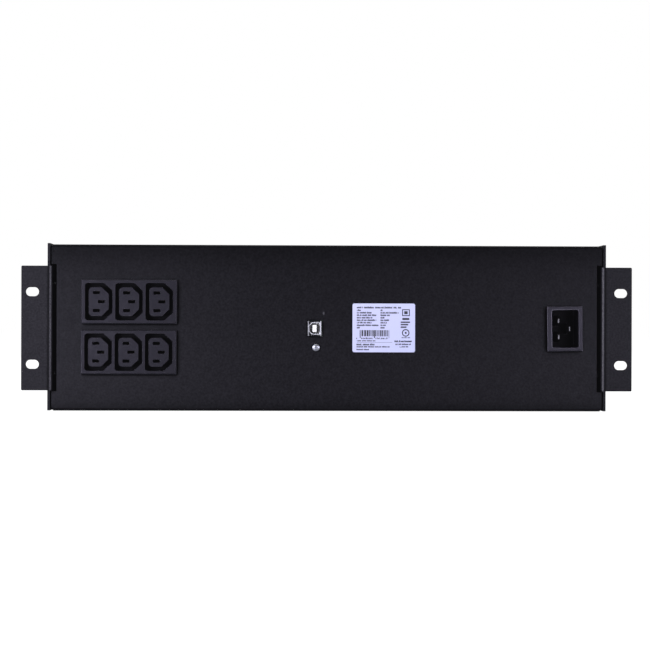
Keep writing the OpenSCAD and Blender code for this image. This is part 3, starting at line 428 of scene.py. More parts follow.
def socket_shell(name):
    """Tin plate with a painted highlight on the side lips and round the throat, and painted
    shade in the recess between.
    """
    lo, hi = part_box("usb_shell")
    centre = (lo + hi) / 2
    mat = Shader(name)
    x, y, z = mat.xyz()
    across = mat.minus(x, centre.x)
    # the lips: two upright bands of painted highlight, the left one dimmer
    lip = mat.times(mat.fit(mat.size_of(across), (0.0045, 0.0047)),
                    mat.fit(mat.size_of(across), (0.005, 0.0052), to=(1.0, 0.1)))
    lip = mat.times(lip, mat.fit(across, (-0.001, 0.001), to=(0.6, 1.0)))
    # the throat: a painted highlight in a thin band at the distance outside a rectangle whose
    # left corners are cut at 45 degrees
    height = mat.size_of(mat.minus(z, centre.z))
    cut = mat.times(mat.minus(mat.minus(height, across), 0.0062), 0.7071)
    sides = mat.minus(mat.size_of(across), 0.0039)
    outside = mat.larger(mat.larger(sides, mat.minus(height, 0.0043)), cut)
    rim = mat.times(mat.fit(outside, (-0.0001, 0.0001)),
                    mat.fit(outside, (0.0003, 0.0005), to=(1.0, 0.0)))
    rim = mat.times(rim, mat.fit(height, (0.002, 0.003), to=(0.25, 1.0)))
    lip = mat.times(lip, mat.fit(height, (0.0054, 0.0058), to=(1.0, 0.2)))
    painted_glint = mat.times(mat.larger(lip, rim), mat.fit(y, (0.0002, 0.0012), to=(1.0, 0.35)))
    # painted highlight on the lips and round the throat, painted shade elsewhere
    colour = mat.mix(painted_glint, srgb(38, 38, 43), srgb(238, 239, 244))
    mat.set(
        Base_Color=mat.vary(colour, 0.08, sizes=(6.0, 1.2, 0.3)),
        Metallic=mat.fit(painted_glint, (0, 1), to=(0.7, 0.4)),
        Roughness=mat.uneven(0.42, 0.05, size=1.0),
        Normal=mat.bump(mat.noise(0.4, detail=3.0, rough=0.6), depth=3),
    )
    return mat.material


def pin_plate(name):
    """Nickel blades with a painted highlight along one line of the tip and painted shade
    towards their edges.
    """
    lo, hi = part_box("inlet_pins")
    mat = Shader(name)
    x = mat.xyz()[0]
    line = mat.smaller(mat.size_of(mat.minus(x, lo.x + 0.0014)),
                       mat.size_of(mat.minus(x, hi.x - 0.0005)))
    # three rows of blades, 6.5 mm apart in height
    height = mat.minus(mat.xyz()[2], 0.00045)
    outer = mat.size_of(mat.minus(mat.size_of(height), 0.0065))
    row = mat.smaller(mat.size_of(height), outer)
    tip_glint = mat.times(mat.fit(row, (0.0014, 0.0021), to=(1.0, 0.0)),
                    mat.fit(mat.xyz()[1], (0.0045, 0.006), to=(1.0, 0.25)))
    tip_glint = mat.times(tip_glint, mat.fit(line, (0.0005, 0.0008), to=(1.0, 0.0)))
    # painted highlight on the tips, painted shade elsewhere on the blades
    colour = mat.mix(tip_glint, srgb(22, 22, 24), srgb(98, 97, 100))
    mat.set(
        Base_Color=mat.vary(colour, 0.08, sizes=(6.0, 1.2, 0.3)),
        Metallic=0.9,
        Roughness=mat.fit(tip_glint, (0, 1), to=(0.5, 0.36)),
        Normal=mat.bump(mat.noise(0.5, detail=3.0, rough=0.6), depth=4),
    )
    return mat.material


# ---------------------------------------------------------------- other materials
def label_film(name):
    mat = Shader(name)
    x, _, z = mat.xyz()
    # painted shade: the tone darkens slightly from the upper left to the lower right
    slant = mat.fit(mat.minus(x, z), (0.0, 0.075))
    colour = mat.mix(slant, srgb(188, 190, 217), srgb(183, 187, 217))
    fibre = mat.noise(0.4, detail=3.0, rough=0.6)
    mat.set(
        Base_Color=mat.mix(mat.times(fibre, 0.06), colour, srgb(190, 196, 222)),
        Roughness=mat.uneven(0.42, 0.05),
        Normal=mat.bump(mat.plus(mat.noise(14.0), mat.times(fibre, 0.05)), depth=60),
        Coat_Weight=0.25,
        Coat_Roughness=0.25,
    )
    return mat.material


def ink(name):
    mat = Shader(name)
    gap = mat.noise(0.25, detail=3.0, rough=0.7)
    mat.set(
        Base_Color=mat.mix(mat.fit(gap, (0.6, 0.85)), srgb(22, 21, 32), srgb(60, 60, 80)),
        Roughness=mat.uneven(0.5, 0.08, size=1.0),
        Normal=mat.bump(gap, depth=4),
    )
    return mat.material


def foam(name):
    mat = Shader(name)
    pore = mat.cells(0.9)
    fine = mat.noise(0.5, detail=4.0, rough=0.7)
    colour = mat.mix(mat.fit(pore, (0.1, 0.6)), srgb(22, 22, 24), srgb(66, 66, 70))
    mat.set(
        Base_Color=mat.vary(colour, 0.12),
        Roughness=mat.fit(fine, (0.3, 0.7), to=(0.88, 1.0)),
        Normal=mat.bump(mat.plus(pore, fine), depth=260),
        Specular_IOR_Level=0.2,
    )
    return mat.material


def laminations(name):
    """Stacked varnished sheets, seen as fine lines along Y, with a little rust."""
    sheets_per_metre = 2000.0
    mat = Shader(name)
    saw = mat.calc("FRACT", mat.times(mat.xyz()[1], sheets_per_metre))
    groove = mat.size_of(mat.minus(saw, 0.5))
    colour = mat.mix(mat.fit(groove, (0.38, 0.5)), srgb(70, 69, 70), srgb(24, 23, 24))
    rust = mat.fit(mat.noise(7.0, detail=6.0, rough=0.75), (0.58, 0.72))
    colour = mat.mix(mat.times(rust, 0.5), colour, srgb(98, 62, 40))
    sheet = mat.fit(groove, (0.3, 0.5), to=(1, 0))
    mat.set(
        Base_Color=mat.vary(colour, 0.15),
        Roughness=mat.uneven(0.5, 0.1, size=4.0),
        Metallic=mat.minus(0.75, mat.times(rust, 0.6)),
        Normal=mat.bump(mat.minus(sheet, mat.times(rust, 0.2)), depth=90),
    )
    return mat.material


def tape(name):
    """Yellow polyester tape wound round the coil with overlapping edges."""
    turns_per_metre = 1000 / 9.0
    mat = Shader(name)
    wobble = mat.times(mat.noise(18.0), 0.004)
    turn = mat.calc("FRACT", mat.times(mat.plus(mat.xyz()[2], wobble), turns_per_metre))
    overlap = mat.fit(turn, (0.0, 0.08), to=(1.0, 0.0))
    wrinkle = mat.noise(2.2, detail=3.0, rough=0.6, vec=mat.stretch((1, 1, 0.3)))
    colour = mat.mix(overlap, srgb(206, 158, 44), srgb(128, 86, 20))
    relief = mat.plus(mat.times(turn, 0.8), mat.times(wrinkle, 0.4))
    mat.set(
        Base_Color=mat.vary(colour, 0.14),
        Roughness=mat.uneven(0.32, 0.08, size=3.0),
        Normal=mat.bump(relief, depth=140),
        Coat_Weight=0.35,
    )
    return mat.material


def circuit_board(name):
    """Solder mask over copper tracks, with a grid of plated holes and pale outlines."""
    hole_pitch = 2.54
    mat = Shader(name)

    def lines(size, jitter, span):
        return mat.fit(mat.cells(size, "DISTANCE_TO_EDGE", jitter=jitter), span, to=(1.0, 0.0))

    wide = lines(5.2, jitter=0.35, span=(0.05, 0.075))
    fine = lines(hole_pitch, jitter=0.15, span=(0.07, 0.1))
    hole = mat.fit(mat.cells(hole_pitch, jitter=0.0), (0.16, 0.19), to=(1.0, 0.0))
    # pads fill some regions, fine tracks the others
    pad_region = mat.fit(mat.noise(16.0, detail=1.0), (0.5, 0.53))
    pads = mat.times(hole, pad_region)
    tracks = mat.larger(wide, mat.times(fine, mat.minus(1.0, pad_region)))
    colour = mat.mix(tracks, srgb(14, 62, 34), srgb(30, 96, 50))
    outline = mat.times(lines(13.0, jitter=0.2, span=(0.012, 0.02)),
                        mat.fit(mat.noise(22.0, detail=1.0), (0.52, 0.54)))
    colour = mat.mix(outline, colour, srgb(210, 212, 205))
    colour = mat.mix(pads, colour, srgb(186, 186, 180))
    mat.set(
        Base_Color=mat.vary(colour, 0.08),
        Roughness=mat.fit(pads, (0, 1), to=(0.3, 0.24)),
        Metallic=pads,
        Normal=mat.bump(mat.plus(tracks, pads), depth=35),
    )
    return mat.material


def paper(name):
    mat = Shader(name)
    fibre = mat.noise(0.9, detail=6.0, rough=0.75, vec=mat.stretch((1, 0.3, 1)))
    colour = mat.mix(fibre, srgb(176, 170, 150), srgb(208, 202, 184))
    mat.set(
        Base_Color=mat.vary(colour, 0.06),
        Roughness=mat.uneven(0.75, 0.08),
        Normal=mat.bump(fibre, depth=25),
    )
    return mat.material


def capacitor(name):
    """Shrink sleeve with a pale polarity stripe on its +X side and a bare aluminium top."""
    mat = Shader(name)
    normal = mat.xyz(mat.add("ShaderNodeNewGeometry").outputs["Normal"])
    top = mat.fit(normal[2], (0.85, 0.9))
    stripe = mat.times(mat.fit(normal[0], (0.93, 0.95)), mat.minus(1.0, top))
    colour = mat.mix(stripe, srgb(22, 26, 52), srgb(160, 166, 178))
    colour = mat.mix(top, colour, srgb(172, 174, 176))
    crease = mat.noise(2.6, detail=4.0, rough=0.6, vec=mat.stretch((1, 1, 0.25)))
    mat.set(
        Base_Color=mat.vary(colour, 0.08),
        Metallic=mat.times(top, 0.95),
        Roughness=mat.uneven(0.34, 0.07, size=3.0),
        Normal=mat.bump(crease, depth=40),
    )
    return mat.material


def choke(name):
    """Enamelled copper wound round a ring core."""
    turns = 54.0
    lo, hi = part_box("filter_choke")
    centre = (lo + hi) / 2
    mat = Shader(name)
    x, y, _ = mat.xyz()
    angle = mat.calc("ARCTAN2", mat.minus(y, centre.y), mat.minus(x, centre.x))
    strand = mat.calc("MULTIPLY_ADD", mat.calc("SINE", mat.times(angle, turns)), 0.5, 0.5)
    colour = mat.mix(strand, srgb(70, 28, 14), srgb(190, 96, 52))
    mat.set(
        Base_Color=mat.vary(colour, 0.12),
        Metallic=0.85,
        Roughness=mat.uneven(0.26, 0.06, size=2.0),
        Normal=mat.bump(strand, depth=420),
        Coat_Weight=0.6,
    )
    return mat.material


def wire(name, base):
    mat = Shader(name)
    lay = mat.noise(6.0, detail=3.0)
    fine = mat.noise(0.3, detail=3.0, rough=0.6)
    mat.set(
        Base_Color=mat.patches(mat.vary(base, 0.12), tint(base, 1.7), 0.2, size=3.0,
                               detail=5.0, span=(0.55, 0.7)),
        Roughness=mat.uneven(0.4, 0.08, size=2.0),
        Normal=mat.bump(mat.plus(lay, mat.times(fine, 0.15)), depth=60),
    )
    return mat.material


def lens(name):
    """Milky green light pipe."""
    mat = Shader(name)
    mist = mat.noise(1.2, detail=4.0, rough=0.6)
    colour = mat.mix(mist, srgb(96, 140, 108), srgb(150, 190, 158))
    mat.set(
        Base_Color=mat.vary(colour, 0.06),
        Roughness=mat.uneven(0.22, 0.05, size=1.5),
        Normal=mat.bump(mist, depth=6),
        Transmission_Weight=0.35,
        Coat_Weight=0.4,
    )
    return mat.material


# material slot: maker and its values; edge_wear only counts on the edge rounds
FINISHES = {
    "chassis_paint": (powder, dict(base=BLACK, rough=PANEL_ROUGH, edge_wear=0.5)),
    "ear_paint": (ear_powder, dict(base=EAR_BLACK, rough=0.5, edge_wear=0.5)),
    "black_screw": (metal, dict(
        base=srgb(26, 26, 29), rough=0.46, edge_wear=0.35, metallic=0.6)),
    "bezel_plastic": (moulded, dict(
        base=srgb(27, 27, 30), rough=0.44, edge_wear=0.5, grain=0.5, depth=16)),
    # on the connector plastics the paler rubbed edges are partly wear and partly a painted
    # highlight
    "outlet_plastic": (moulded, dict(
        base=srgb(16.6, 16.0, 21.4), rough=0.42, edge_wear=0.8, grain=0.35, depth=6,
        specular=0.14, cavity_painted_shade=0.2)),
    "inlet_plastic": (moulded, dict(
        base=srgb(24.2, 22.9, 29.2), rough=0.42, edge_wear=0.8, grain=0.35, depth=6,
        specular=0.22, cavity_painted_shade=0.12)),
    # painted shade blackens the contacts inside the socket cavities
    "contact_brass": (metal, dict(
        base=srgb(150, 118, 66), rough=0.4, tarnish=srgb(80, 56, 30),
        painted_shade_span=(0.034, 0.038))),
    "nickel": (metal, dict(
        base=srgb(170, 172, 180), rough=0.36, tarnish=srgb(118, 118, 122), edge_wear=0.4)),
    "white_plastic": (moulded, dict(
        base=srgb(232, 231, 227), rough=0.35, depth=4, vary=0.04)),
    "label_film": (label_film, {}),
    "zinc_steel": (metal, dict(
        base=srgb(178, 183, 190), rough=0.33, tarnish=srgb(150, 144, 122), edge_wear=0.4,
        spangle=0.4)),
    "battery_case": (moulded, dict(
        base=srgb(46, 47, 51), rough=0.5, edge_wear=0.5, grain=0.7, depth=14)),
    "tinned_lead": (metal, dict(
        base=srgb(165, 166, 166), rough=0.42, tarnish=srgb(112, 112, 110))),
    "wire_red": (wire, dict(base=srgb(158, 22, 18))),
    "wire_black": (wire, dict(base=srgb(26, 26, 28))),
    "foam": (foam, {}),
    "lamination_steel": (laminations, {}),
    "winding_tape": (tape, {}),
    "pcb": (circuit_board, {}),
    "insulator": (paper, {}),
    "extruded_aluminium": (metal, dict(
        base=srgb(188, 190, 192), rough=0.36, streaks=(1, 1, 0.03), depth=6)),
    "epoxy_black": (moulded, dict(base=srgb(30, 30, 32), rough=0.56, grain=0.25, depth=8)),
    "capacitor_sleeve": (capacitor, {}),
    "relay_case": (moulded, dict(
        base=srgb(24, 58, 112), rough=0.33, grain=0.4, depth=6, coat=0.2)),
    "choke_wire": (choke, {}),
    "fan_plastic": (moulded, dict(
        base=srgb(28, 28, 30), rough=0.42, edge_wear=0.3, grain=0.5, depth=10)),
    "button_plastic": (moulded, dict(
        base=srgb(52, 52, 56), rough=0.28, edge_wear=0.3, grain=0.4, depth=5, coat=0.3)),
    "spring_steel": (metal, dict(
        base=srgb(170, 172, 176), rough=0.26, tarnish=srgb(120, 118, 112))),
    "lens_plastic": (lens, {}),
}
made = {}


def finish_for(slot, on_edge=False):
    key = (slot, on_edge)
    if key not in made:
        maker, values = FINISHES[slot]
        used = {name: v for name, v in values.items() if on_edge or name != "edge_wear"}
        made[key] = maker(slot + ("_edge" if on_edge else "_finish"), **used)
    return made[key]


# ---------------------------------------------------------------- edge rounds
def node_group(name, build):
    group = bpy.data.node_groups.new(name, "GeometryNodeTree")
    for direction in ("INPUT", "OUTPUT"):
        group.interface.new_socket("Geometry", in_out=direction,
                                   socket_type="NodeSocketGeometry")
    source = group.nodes.new("NodeGroupInput")
    target = group.nodes.new("NodeGroupOutput")
    build(group, source.outputs[0], target.inputs[0])
    return group


def tidy(group, source, target):
    """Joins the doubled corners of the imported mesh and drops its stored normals."""
    remove = group.nodes.new("GeometryNodeRemoveAttribute")
    remove.inputs["Name"].default_value = "custom_normal"
    weld = group.nodes.new("GeometryNodeMergeByDistance")
    weld.inputs["Distance"].default_value = 2e-6
    group.links.new(source, remove.inputs["Geometry"])
    group.links.new(remove.outputs["Geometry"], weld.inputs["Geometry"])
    group.links.new(weld.outputs["Geometry"], target)


def smooth_by_angle(group, source, target):
    """Smooth faces, with the edges above 37 degrees kept sharp."""
    faces = group.nodes.new("GeometryNodeSetShadeSmooth")
    faces.domain = "FACE"
    angle = group.nodes.new("GeometryNodeInputMeshEdgeAngle")
    compare = group.nodes.new("FunctionNodeCompare")
    compare.data_type = "FLOAT"
    compare.operation = "GREATER_THAN"
    compare.inputs[1].default_value = math.radians(37)
    edges = group.nodes.new("GeometryNodeSetShadeSmooth")
    edges.domain = "EDGE"
    edges.inputs["Shade Smooth"].default_value = False
    group.links.new(source, faces.inputs["Geometry"])
    group.links.new(faces.outputs["Geometry"], edges.inputs["Geometry"])
    group.links.new(angle.outputs["Unsigned Angle"], compare.inputs[0])
    group.links.new(compare.outputs[0], edges.inputs["Selection"])
    group.links.new(edges.outputs["Geometry"], target)


TIDY = node_group("tidy", tidy)
SMOOTH = node_group("smooth_by_angle", smooth_by_angle)


def round_edges(obj, width):
    """A two-step bevel, width in mm, that takes the second material slot."""
    obj.modifiers.new("tidy", "NODES").node_group = TIDY
    planar = obj.modifiers.new("planar", "DECIMATE")
    planar.decimate_type = "DISSOLVE"
    planar.angle_limit = math.radians(0.6)
    planar.delimit = {"MATERIAL"}
    bevel = obj.modifiers.new("round", "BEVEL")
    bevel.width = width * MM
    bevel.segments = 2
    bevel.limit_method = "ANGLE"
    bevel.angle_limit = math.radians(40.0)
    bevel.offset_type = "OFFSET"
    bevel.use_clamp_overlap = True
    bevel.miter_outer = "MITER_SHARP"
    bevel.loop_slide = False
    bevel.material = 1
    obj.modifiers.new("smooth", "NODES").node_group = SMOOTH
    weighted = obj.modifiers.new("weighted", "WEIGHTED_NORMAL")
    weighted.keep_sharp = True
    weighted.weight = 80


# width of the edge round in mm: the nodes that get it
ROUNDED = {
    0.07: "usb_shell",
    0.1: "main_board control_board usb_board indicator_board button_switch",
    0.12: "usb_insert usb_panel_screw ear_screws side_plate_screws front_plate_screws "
          "bezel_screws fan_screws",
    0.15: "fan_rotor battery_terminals heat_sinks usb_bracket",
    0.2: "main_shell front_plate battery_strap transformer_brackets power_transistors",
    0.22: "outlet_strip_upper outlet_strip_lower",
    0.25: "inlet_body",
    0.3: "left_rack_ear right_rack_ear left_side_plate right_side_plate power_button "
         "indicator_lenses inlet_pins fan_frame transformer_core fuse_holder",
    0.35: "front_bezel",
    0.4: "relays",
    0.6: "capacitors",
    0.8: "battery_1 battery_2 battery_3 battery_4",
    1.2: "transformer_winding",
}
ROUND_WIDTH = {name: width for width, names in ROUNDED.items() for name in names.split()}
SLOTS = {part["node"]: part["material_slot"] for part in frame["record"]["subparts"]}

# nodes with a material of their own; the shell's edges still take the worn chassis paint
own_body = {
    "main_shell": panel_powder("panel_finish"),
    "usb_shell": socket_shell("usb_tin"),
    "inlet_pins": pin_plate("inlet_pin_nickel"),
}
own_edge = {name: own_body[name] for name in ("usb_shell", "inlet_pins")}
for name, obj in NODES.items():
    slot = SLOTS[name]
    obj.data.materials.clear()
    obj.data.materials.append(own_body.get(name) or finish_for(slot))
    if name in ROUND_WIDTH:
        obj.data.materials.append(own_edge.get(name) or finish_for(slot, on_edge=True))
        round_edges(obj, ROUND_WIDTH[name])


def chassis_object(name, bm, material, smooth=True):
    """Object on the chassis; with smooth its quads are smooth and any end caps stay flat."""
    bmesh.ops.recalc_face_normals(bm, faces=bm.faces)
    mesh = bpy.data.meshes.new(name)
    bm.to_mesh(mesh)
    bm.free()
    for face in mesh.polygons:
        face.use_smooth = smooth and len(face.vertices) == 4
    mesh.materials.append(material)
    obj = bpy.data.objects.new(name, mesh)
    bpy.context.scene.collection.objects.link(obj)
    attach(obj, "chassis")
    return obj


# ---------------------------------------------------------------- label print
# Label coordinates: mm to the right and down from the label's upper left corner.
label_lo, label_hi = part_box("rating_label")
LABEL_LEFT, LABEL_TOP, LABEL_Y = label_lo.x / MM, label_hi.z / MM, label_lo.y / MM
PRINT_PROUD, PRINT_SUNK = 0.02, 0.03
print_shapes = []
rng = random.Random(7)


def outline(points):
    print_shapes.append([(LABEL_LEFT + x, LABEL_TOP - y) for x, y in points])


def rect(left, top, right, bottom, radius=0.0):
    if radius <= 0:
        outline([(left, top), (left, bottom), (right, bottom), (right, top)])
        return
    points = []
    corners = (
        (left + radius, top + radius, 180), (left + radius, bottom - radius, 90),
        (right - radius, bottom - radius, 0), (right - radius, top + radius, -90),
    )
    for centre_x, centre_y, start in corners:
        for step in range(4):
            angle = math.radians(start - step * 30)
            points.append((centre_x + radius * math.cos(angle),
                           centre_y + radius * math.sin(angle)))
    outline(points)


def ring(centre_x, centre_y, outer, inner, count=28):
    for i in range(count):
        start = 2 * math.pi * i / count
        end = 2 * math.pi * (i + 1) / count
        corners = ((outer, start), (outer, end), (inner, end), (inner, start))
        outline([(centre_x + radius * math.cos(angle), centre_y + radius * math.sin(angle))
                 for radius, angle in corners])


def words(left, right, top, bottom, block=0.7, gap=0.12, space=0.5, solid=0.94):
    """A line of small uneven blocks that only stands in for print.

    solid is the share of full blocks; the others are L shapes.
    """
    x = left
    until_space = rng.randint(3, 8)
    height = bottom - top
    while x < right - 0.15:
        width = min(block * rng.uniform(0.7, 1.15), right - x)
        block_top = top + height * rng.choice((0.0, 0.12, 0.15, 0.2))
        if rng.random() < solid:
            rect(x, block_top, x + width, bottom)
        else:
            rect(x, block_top, x + width * 0.36, bottom)
            rect(x, bottom - height * 0.22, x + width, bottom)
        x += width + gap
        until_space -= 1
        if until_space == 0:
            x += space
            until_space = rng.randint(3, 8)


def heading():
    words(3.4, 8.1, 2.55, 3.8)
    for left, right in ((9.1, 17.0), (18.0, 22.2), (22.8, 31.5), (32.5, 35.3), (36.1, 38.6)):
        words(left, right, 2.4, 3.9, block=0.85, gap=0.16, space=0.0, solid=0.9)


def two_columns():
    # middle of the row, right end in the left column, right end in the right column
    rows = (
        (5.4, 6.5, 24.0), (7.35, 15.1, 36.4), (9.3, 18.8, 29.5), (11.3, 15.8, 25.7),
        (13.25, 18.8, 28.9), (15.2, 15.6, 27.3), (17.25, 20.8, 26.7), (19.2, 5.9, 25.4),
    )
    for y, first_end, second_end in rows:
        words(3.4, first_end, y - 0.75, y + 0.6)
        words(22.2, second_end, y - 0.75, y + 0.6)


def bar_code():
    """Upright bars, longer at both ends and in the middle, with print below."""
    x = 5.7
    while x < 29.0:
        width = min(rng.choice((0.35, 0.6, 0.8, 1.2)), 29.1 - x)
        is_long = x < 6.8 or 16.8 < x < 17.9 or x > 28.0
        rect(x, 21.1, x + width, 27.4 if is_long else 26.0)
        x += width + rng.choice((0.22, 0.26, 0.4, 0.52))
    words(3.0, 3.8, 26.9, 28.2, block=0.8)
    words(6.95, 16.5, 26.9, 28.2, block=0.9, gap=0.42, space=0.0)
    words(18.1, 27.7, 26.9, 28.2, block=0.9, gap=0.42, space=0.0)


def lower_lines():
    words(3.4, 18.2, 29.0, 30.0)
    rect(3.4, 30.75, 31.6, 30.95)
    words(33.3, 47.0, 29.2, 30.6, block=0.9, gap=0.14, space=0.2, solid=0.95)
    words(34.0, 46.4, 31.6, 32.8)
    words(37.4, 44.2, 33.6, 34.7)
    words(3.2, 18.2, 31.7, 33.2, block=0.8, gap=0.15)
    words(3.2, 29.5, 33.7, 34.8)
    words(3.2, 13.1, 35.9, 37.0)


def right_marks():
    """A framed square, a bar, three bars that shorten downwards, and a ring."""
    rect(39.3, 4.5, 45.4, 5.2)
    rect(39.3, 9.2, 45.4, 9.9)
    rect(39.3, 5.2, 40.0, 9.2)
    rect(44.7, 5.2, 45.4, 9.2)
    rect(41.0, 6.0, 43.7, 8.4)
    rect(39.5, 11.4, 45.0, 12.95)
    for k in range(3):
        rect(38.2, 14.2 + 1.95 * k, 45.6 - 1.4 * k, 15.3 + 1.95 * k)
    ring(42.2, 23.2, outer=3.0, inner=2.2)
    rect(41.2, 22.2, 43.2, 24.2, radius=0.3)
    words(39.0, 45.6, 26.5, 27.4, block=0.45)


def label_print():
    """The outlines as thin slabs that stand through the label's front face."""
    bm = bmesh.new()
    for shape in print_shapes:
        front, back = (
            [bm.verts.new((x * MM, y * MM, z * MM)) for x, z in shape]
            for y in (LABEL_Y - PRINT_PROUD, LABEL_Y + PRINT_SUNK)
        )
        bm.faces.new(front)
        bm.faces.new(list(reversed(back)))
        for i in range(len(shape)):
            j = (i + 1) % len(shape)
            bm.faces.new((front[j], front[i], back[i], back[j]))
    chassis_object("label_print", bm, ink("label_ink"), smooth=False)


# this order fixes the random draws
heading()
two_columns()
bar_code()
lower_lines()
right_marks()
label_print()


# ---------------------------------------------------------------- foam pads
def islands(obj):
    """The separate solids of a CAD node, as lists of vertex positions."""
    mesh = obj.data
    root = list(range(len(mesh.vertices)))

    def find(i):
        while root[i] != i:
            root[i] = root[root[i]]
            i = root[i]
        return i

    first_at = {}
    for vert in mesh.vertices:
        key = tuple(round(c * 1e6) for c in vert.co)
        if key in first_at:
            root[find(vert.index)] = find(first_at[key])
        else:
            first_at[key] = vert.index
    for edge in mesh.edges:
        root[find(edge.vertices[0])] = find(edge.vertices[1])
    solids = {}
    for vert in mesh.vertices:
        solids.setdefault(find(vert.index), []).append(vert.co.copy())
    return [solids[key] for key in sorted(solids)]


def foam_pad(bm, points, noise_rng):
    """One crowned strip with pressed-in ends, inside the CAD box of its points."""
    cell = 0.004
    lo = Vector([min(p[i] for p in points) for i in range(3)])
    hi = Vector([max(p[i] for p in points) for i in range(3)])
    centre, half = (lo + hi) / 2, (hi - lo) / 2
    thin = min(range(3), key=lambda i: half[i])
    axis_u, axis_v = [i for i in range(3) if i != thin]
    count_u = max(6, int(half[axis_u] * 2 / cell))
    count_v = max(4, int(half[axis_v] * 2 / cell))
    grid = {}
    for side in (-1, 1):
        for i in range(count_u + 1):
            for j in range(count_v + 1):
                u, v = 2 * i / count_u - 1, 2 * j / count_v - 1
                crown = ((1 - abs(u) ** 10) * (1 - abs(v) ** 8)) ** 0.4
                thick = 0.62 + 0.36 * crown - 0.02 * noise_rng.random()
                place = Vector((0, 0, 0))
                place[thin] = centre[thin] + side * half[thin] * thick
                place[axis_u] = centre[axis_u] + u * half[axis_u] * 0.985
                place[axis_v] = centre[axis_v] + v * half[axis_v] * 0.97
                grid[side, i, j] = bm.verts.new(place)
    for side in (-1, 1):
        for i in range(count_u):
            for j in range(count_v):
                bm.faces.new((grid[side, i, j], grid[side, i + 1, j],
                              grid[side, i + 1, j + 1], grid[side, i, j + 1]))
    border = [(i, 0) for i in range(count_u)]
    border += [(count_u, j) for j in range(count_v)]
    border += [(i, count_v) for i in range(count_u, 0, -1)]
    border += [(0, j) for j in range(count_v, 0, -1)]
    for p, q in zip(border, border[1:] + border[:1]):
        bm.faces.new((grid[-1, *p], grid[-1, *q], grid[1, *q], grid[1, *p]))


def foam_pads():
    bm = bmesh.new()
    noise_rng = random.Random(3)
    for points in islands(NODES["battery_pads"]):
        foam_pad(bm, points, noise_rng)
    pads = chassis_object("battery_foam", bm, finish_for("foam"))
    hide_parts("battery_pads")


foam_pads()


# ---------------------------------------------------------------- button spring
def coil_spring():
    """Round wire wound in the CAD box of the spring."""
    wire_radius = 0.35 * MM
    turns, rings, sides = 3.5, 168, 12
    lo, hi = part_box("button_spring")
    centre = (lo + hi) / 2
    radius = (hi.x - lo.x) / 2 - wire_radius
    start, end = lo.y + wire_radius, hi.y - wire_radius
    pitch = math.atan2(end - start, 2 * math.pi * radius * turns)
    bm = bmesh.new()
    loops = []
    for i in range(rings + 1):
        share = i / rings
        angle = 2 * math.pi * turns * share
        out = Vector((math.cos(angle), 0, math.sin(angle)))
        side = Vector((math.sin(angle) * math.sin(pitch), math.cos(pitch),
                       -math.cos(angle) * math.sin(pitch)))
        place = Vector((centre.x, start + (end - start) * share, centre.z)) + out * radius
        loop = []
        for k in range(sides):
            around = 2 * math.pi * k / sides
            offset = (out * math.cos(around) + side * math.sin(around)) * wire_radius * 0.98
            loop.append(bm.verts.new(place + offset))
        loops.append(loop)
    for near, far in zip(loops, loops[1:]):
        for k in range(sides):
            j = (k + 1) % sides
            bm.faces.new((near[k], near[j], far[j], far[k]))
    bm.faces.new(loops[0])
    bm.faces.new(list(reversed(loops[-1])))
    coil = chassis_object("button_coil", bm, finish_for("spring_steel"))
    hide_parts("button_spring")
    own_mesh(coil)


coil_spring()


# ---------------------------------------------------------------- studio
scene = bpy.context.scene


def view_settings():
    view = scene.view_settings
    view.view_transform = "Standard"
    view.look = "None"
    view.exposure = 0.0
    view.gamma = 1.0
    # a faint lens veil, so that the deepest shadows are not empty
    view.use_curve_mapping = True
    view.curve_mapping.black_level = (-0.003, -0.003, -0.0034)
    view.curve_mapping.update()


def studio_world():
    """White to the camera, a weak fill for everything else."""
    world = bpy.data.worlds.new("studio")
    scene.world = world
    world.use_nodes = True
    nodes, links = world.node_tree.nodes, world.node_tree.links
    nodes.clear()
    output = nodes.new("ShaderNodeOutputWorld")
    path = nodes.new("ShaderNodeLightPath")
    mix = nodes.new("ShaderNodeMixShader")
    links.new(path.outputs["Is Camera Ray"], mix.inputs[0])
    backgrounds = (((0.96, 0.97, 1.0, 1), 0.02), ((1, 1, 1, 1), 1.0))
    for i, (colour, strength) in enumerate(backgrounds, 1):
        background = nodes.new("ShaderNodeBackground")
        background.inputs[0].default_value = colour
        background.inputs[1].default_value = strength
        links.new(background.outputs[0], mix.inputs[i])
    links.new(mix.outputs[0], output.inputs["Surface"])


def floor_finish(name):
    """Glows white to the camera, plain to other rays, and clear from below."""
    mat = Shader(name)
    mat.set(Base_Color=(0.8, 0.8, 0.82, 1), Roughness=0.7)
    plain = mat.principled.outputs[0]

    def emission(strength):
        node = mat.add("ShaderNodeEmission")
        node.inputs[1].default_value = strength
        return node.outputs[0]

    dimmed = mat.mix_shader(0.82, plain, emission(0.0))
    lit = mat.add("ShaderNodeAddShader")
    mat.put(lit.inputs[0], dimmed)
    mat.put(lit.inputs[1], emission(1.0))
    to_camera = mat.add("ShaderNodeLightPath").outputs["Is Camera Ray"]
    above = mat.mix_shader(to_camera, plain, lit.outputs[0])
    from_below = mat.add("ShaderNodeNewGeometry").outputs["Backfacing"]
    clear = mat.add("ShaderNodeBsdfTransparent").outputs[0]
    mat.put(mat.surface, mat.mix_shader(from_below, above, clear))
    return mat.material


def studio_floor():
    bm = bmesh.new()
    bmesh.ops.create_grid(bm, x_segments=2, y_segments=2, size=12.0)
    mesh = bpy.data.meshes.new("floor")
    bm.to_mesh(mesh)
    bm.free()
    floor = bpy.data.objects.new("floor", mesh)
    floor.location = (0, 0, cad_lo.z - 0.0003)
    scene.collection.objects.link(floor)
    mesh.materials.append(floor_finish("floor_finish"))


BLUISH = (0.88, 0.875, 1.0)
WHITE = (1, 1, 1)
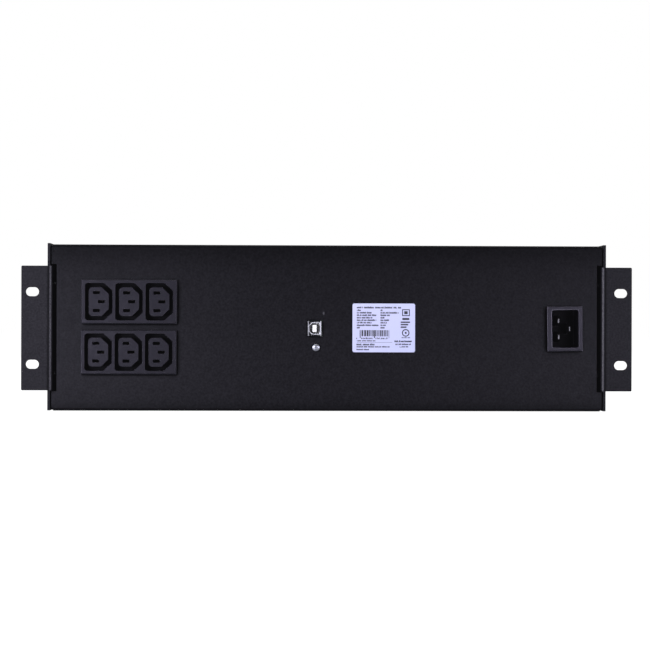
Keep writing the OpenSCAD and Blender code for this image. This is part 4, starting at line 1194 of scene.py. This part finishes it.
# name, place, aim, (width, height), watts, colour
SOFTBOXES = (
    ("key_left", (-0.77, -0.95, 0.5), (0, 0, 0), (0.3, 0.3), 7.5, BLUISH),
    ("key_right", (0.91, -0.9, 0.36), (0, 0, 0), (0.3, 0.3), 3.9, BLUISH),
    ("low_left", (-0.31, -0.5, 0.0), (-0.1, 0, 0), (0.2, 0.1), 1.02, BLUISH),
    ("low_right", (0.36, -0.5, 0.0), (0.1, 0, 0), (0.2, 0.1), 0.64, BLUISH),
    ("rim_left", (-1.05, -0.4, 0.1), (0, 0, 0), (0.4, 0.3), 5.5, BLUISH),
    ("rim_right", (1.1, -0.4, 0.1), (0, 0, 0), (0.4, 0.3), 3, BLUISH),
    ("top", (0.0, 0.25, 1.5), (0, 0.2, 0), (1.6, 1.2), 16, WHITE),
    ("side_left", (-1.5, 0.5, 0.5), (0, 0.2, 0), (0.8, 0.8), 9, WHITE),
    ("side_right", (1.5, 0.5, 0.5), (0, 0.2, 0), (0.8, 0.8), 9, WHITE),
    ("back_left", (-1.2, 1.7, 0.8), (0, 0.37, 0), (0.9, 0.9), 16, WHITE),
    ("back_right", (1.3, 1.6, 0.6), (0, 0.37, 0), (0.9, 0.9), 12, WHITE),
)


def softbox(name, place, aim, size, watts, colour):
    light = bpy.data.lights.new(name, "AREA")
    light.shape = "RECTANGLE"
    light.size, light.size_y = size
    light.energy = watts
    light.color = colour
    obj = bpy.data.objects.new(name, light)
    obj.location = place
    obj.rotation_euler = (Vector(aim) - Vector(place)).to_track_quat("-Z", "Y").to_euler()
    obj.visible_camera = False
    scene.collection.objects.link(obj)


def studio_camera():
    """Level camera in front of the panel, turned slightly to the right and rolled."""
    place = (-31.24 * MM, -1.3, 2.97 * MM)
    yaw, roll = math.radians(1.283), math.radians(0.162)
    forward = Vector((math.sin(yaw), math.cos(yaw), 0))
    level_right = Vector((math.cos(yaw), -math.sin(yaw), 0))
    level_up = level_right.cross(forward)
    right = level_right * math.cos(roll) + level_up * math.sin(roll)
    up = level_up * math.cos(roll) - level_right * math.sin(roll)
    data = bpy.data.cameras.new("camera")
    data.sensor_fit = "HORIZONTAL"
    data.sensor_width = 36.0
    data.lens = 91.037908
    data.clip_start = 0.05
    data.clip_end = 50
    camera = bpy.data.objects.new("camera", data)
    scene.collection.objects.link(camera)
    turn = Matrix((right, up, -forward)).transposed()
    camera.matrix_world = Matrix.Translation(place) @ turn.to_4x4()
    scene.camera = camera


view_settings()
studio_world()
studio_floor()
for row in SOFTBOXES:
    softbox(*row)
studio_camera()

bpy.context.view_layer.update()
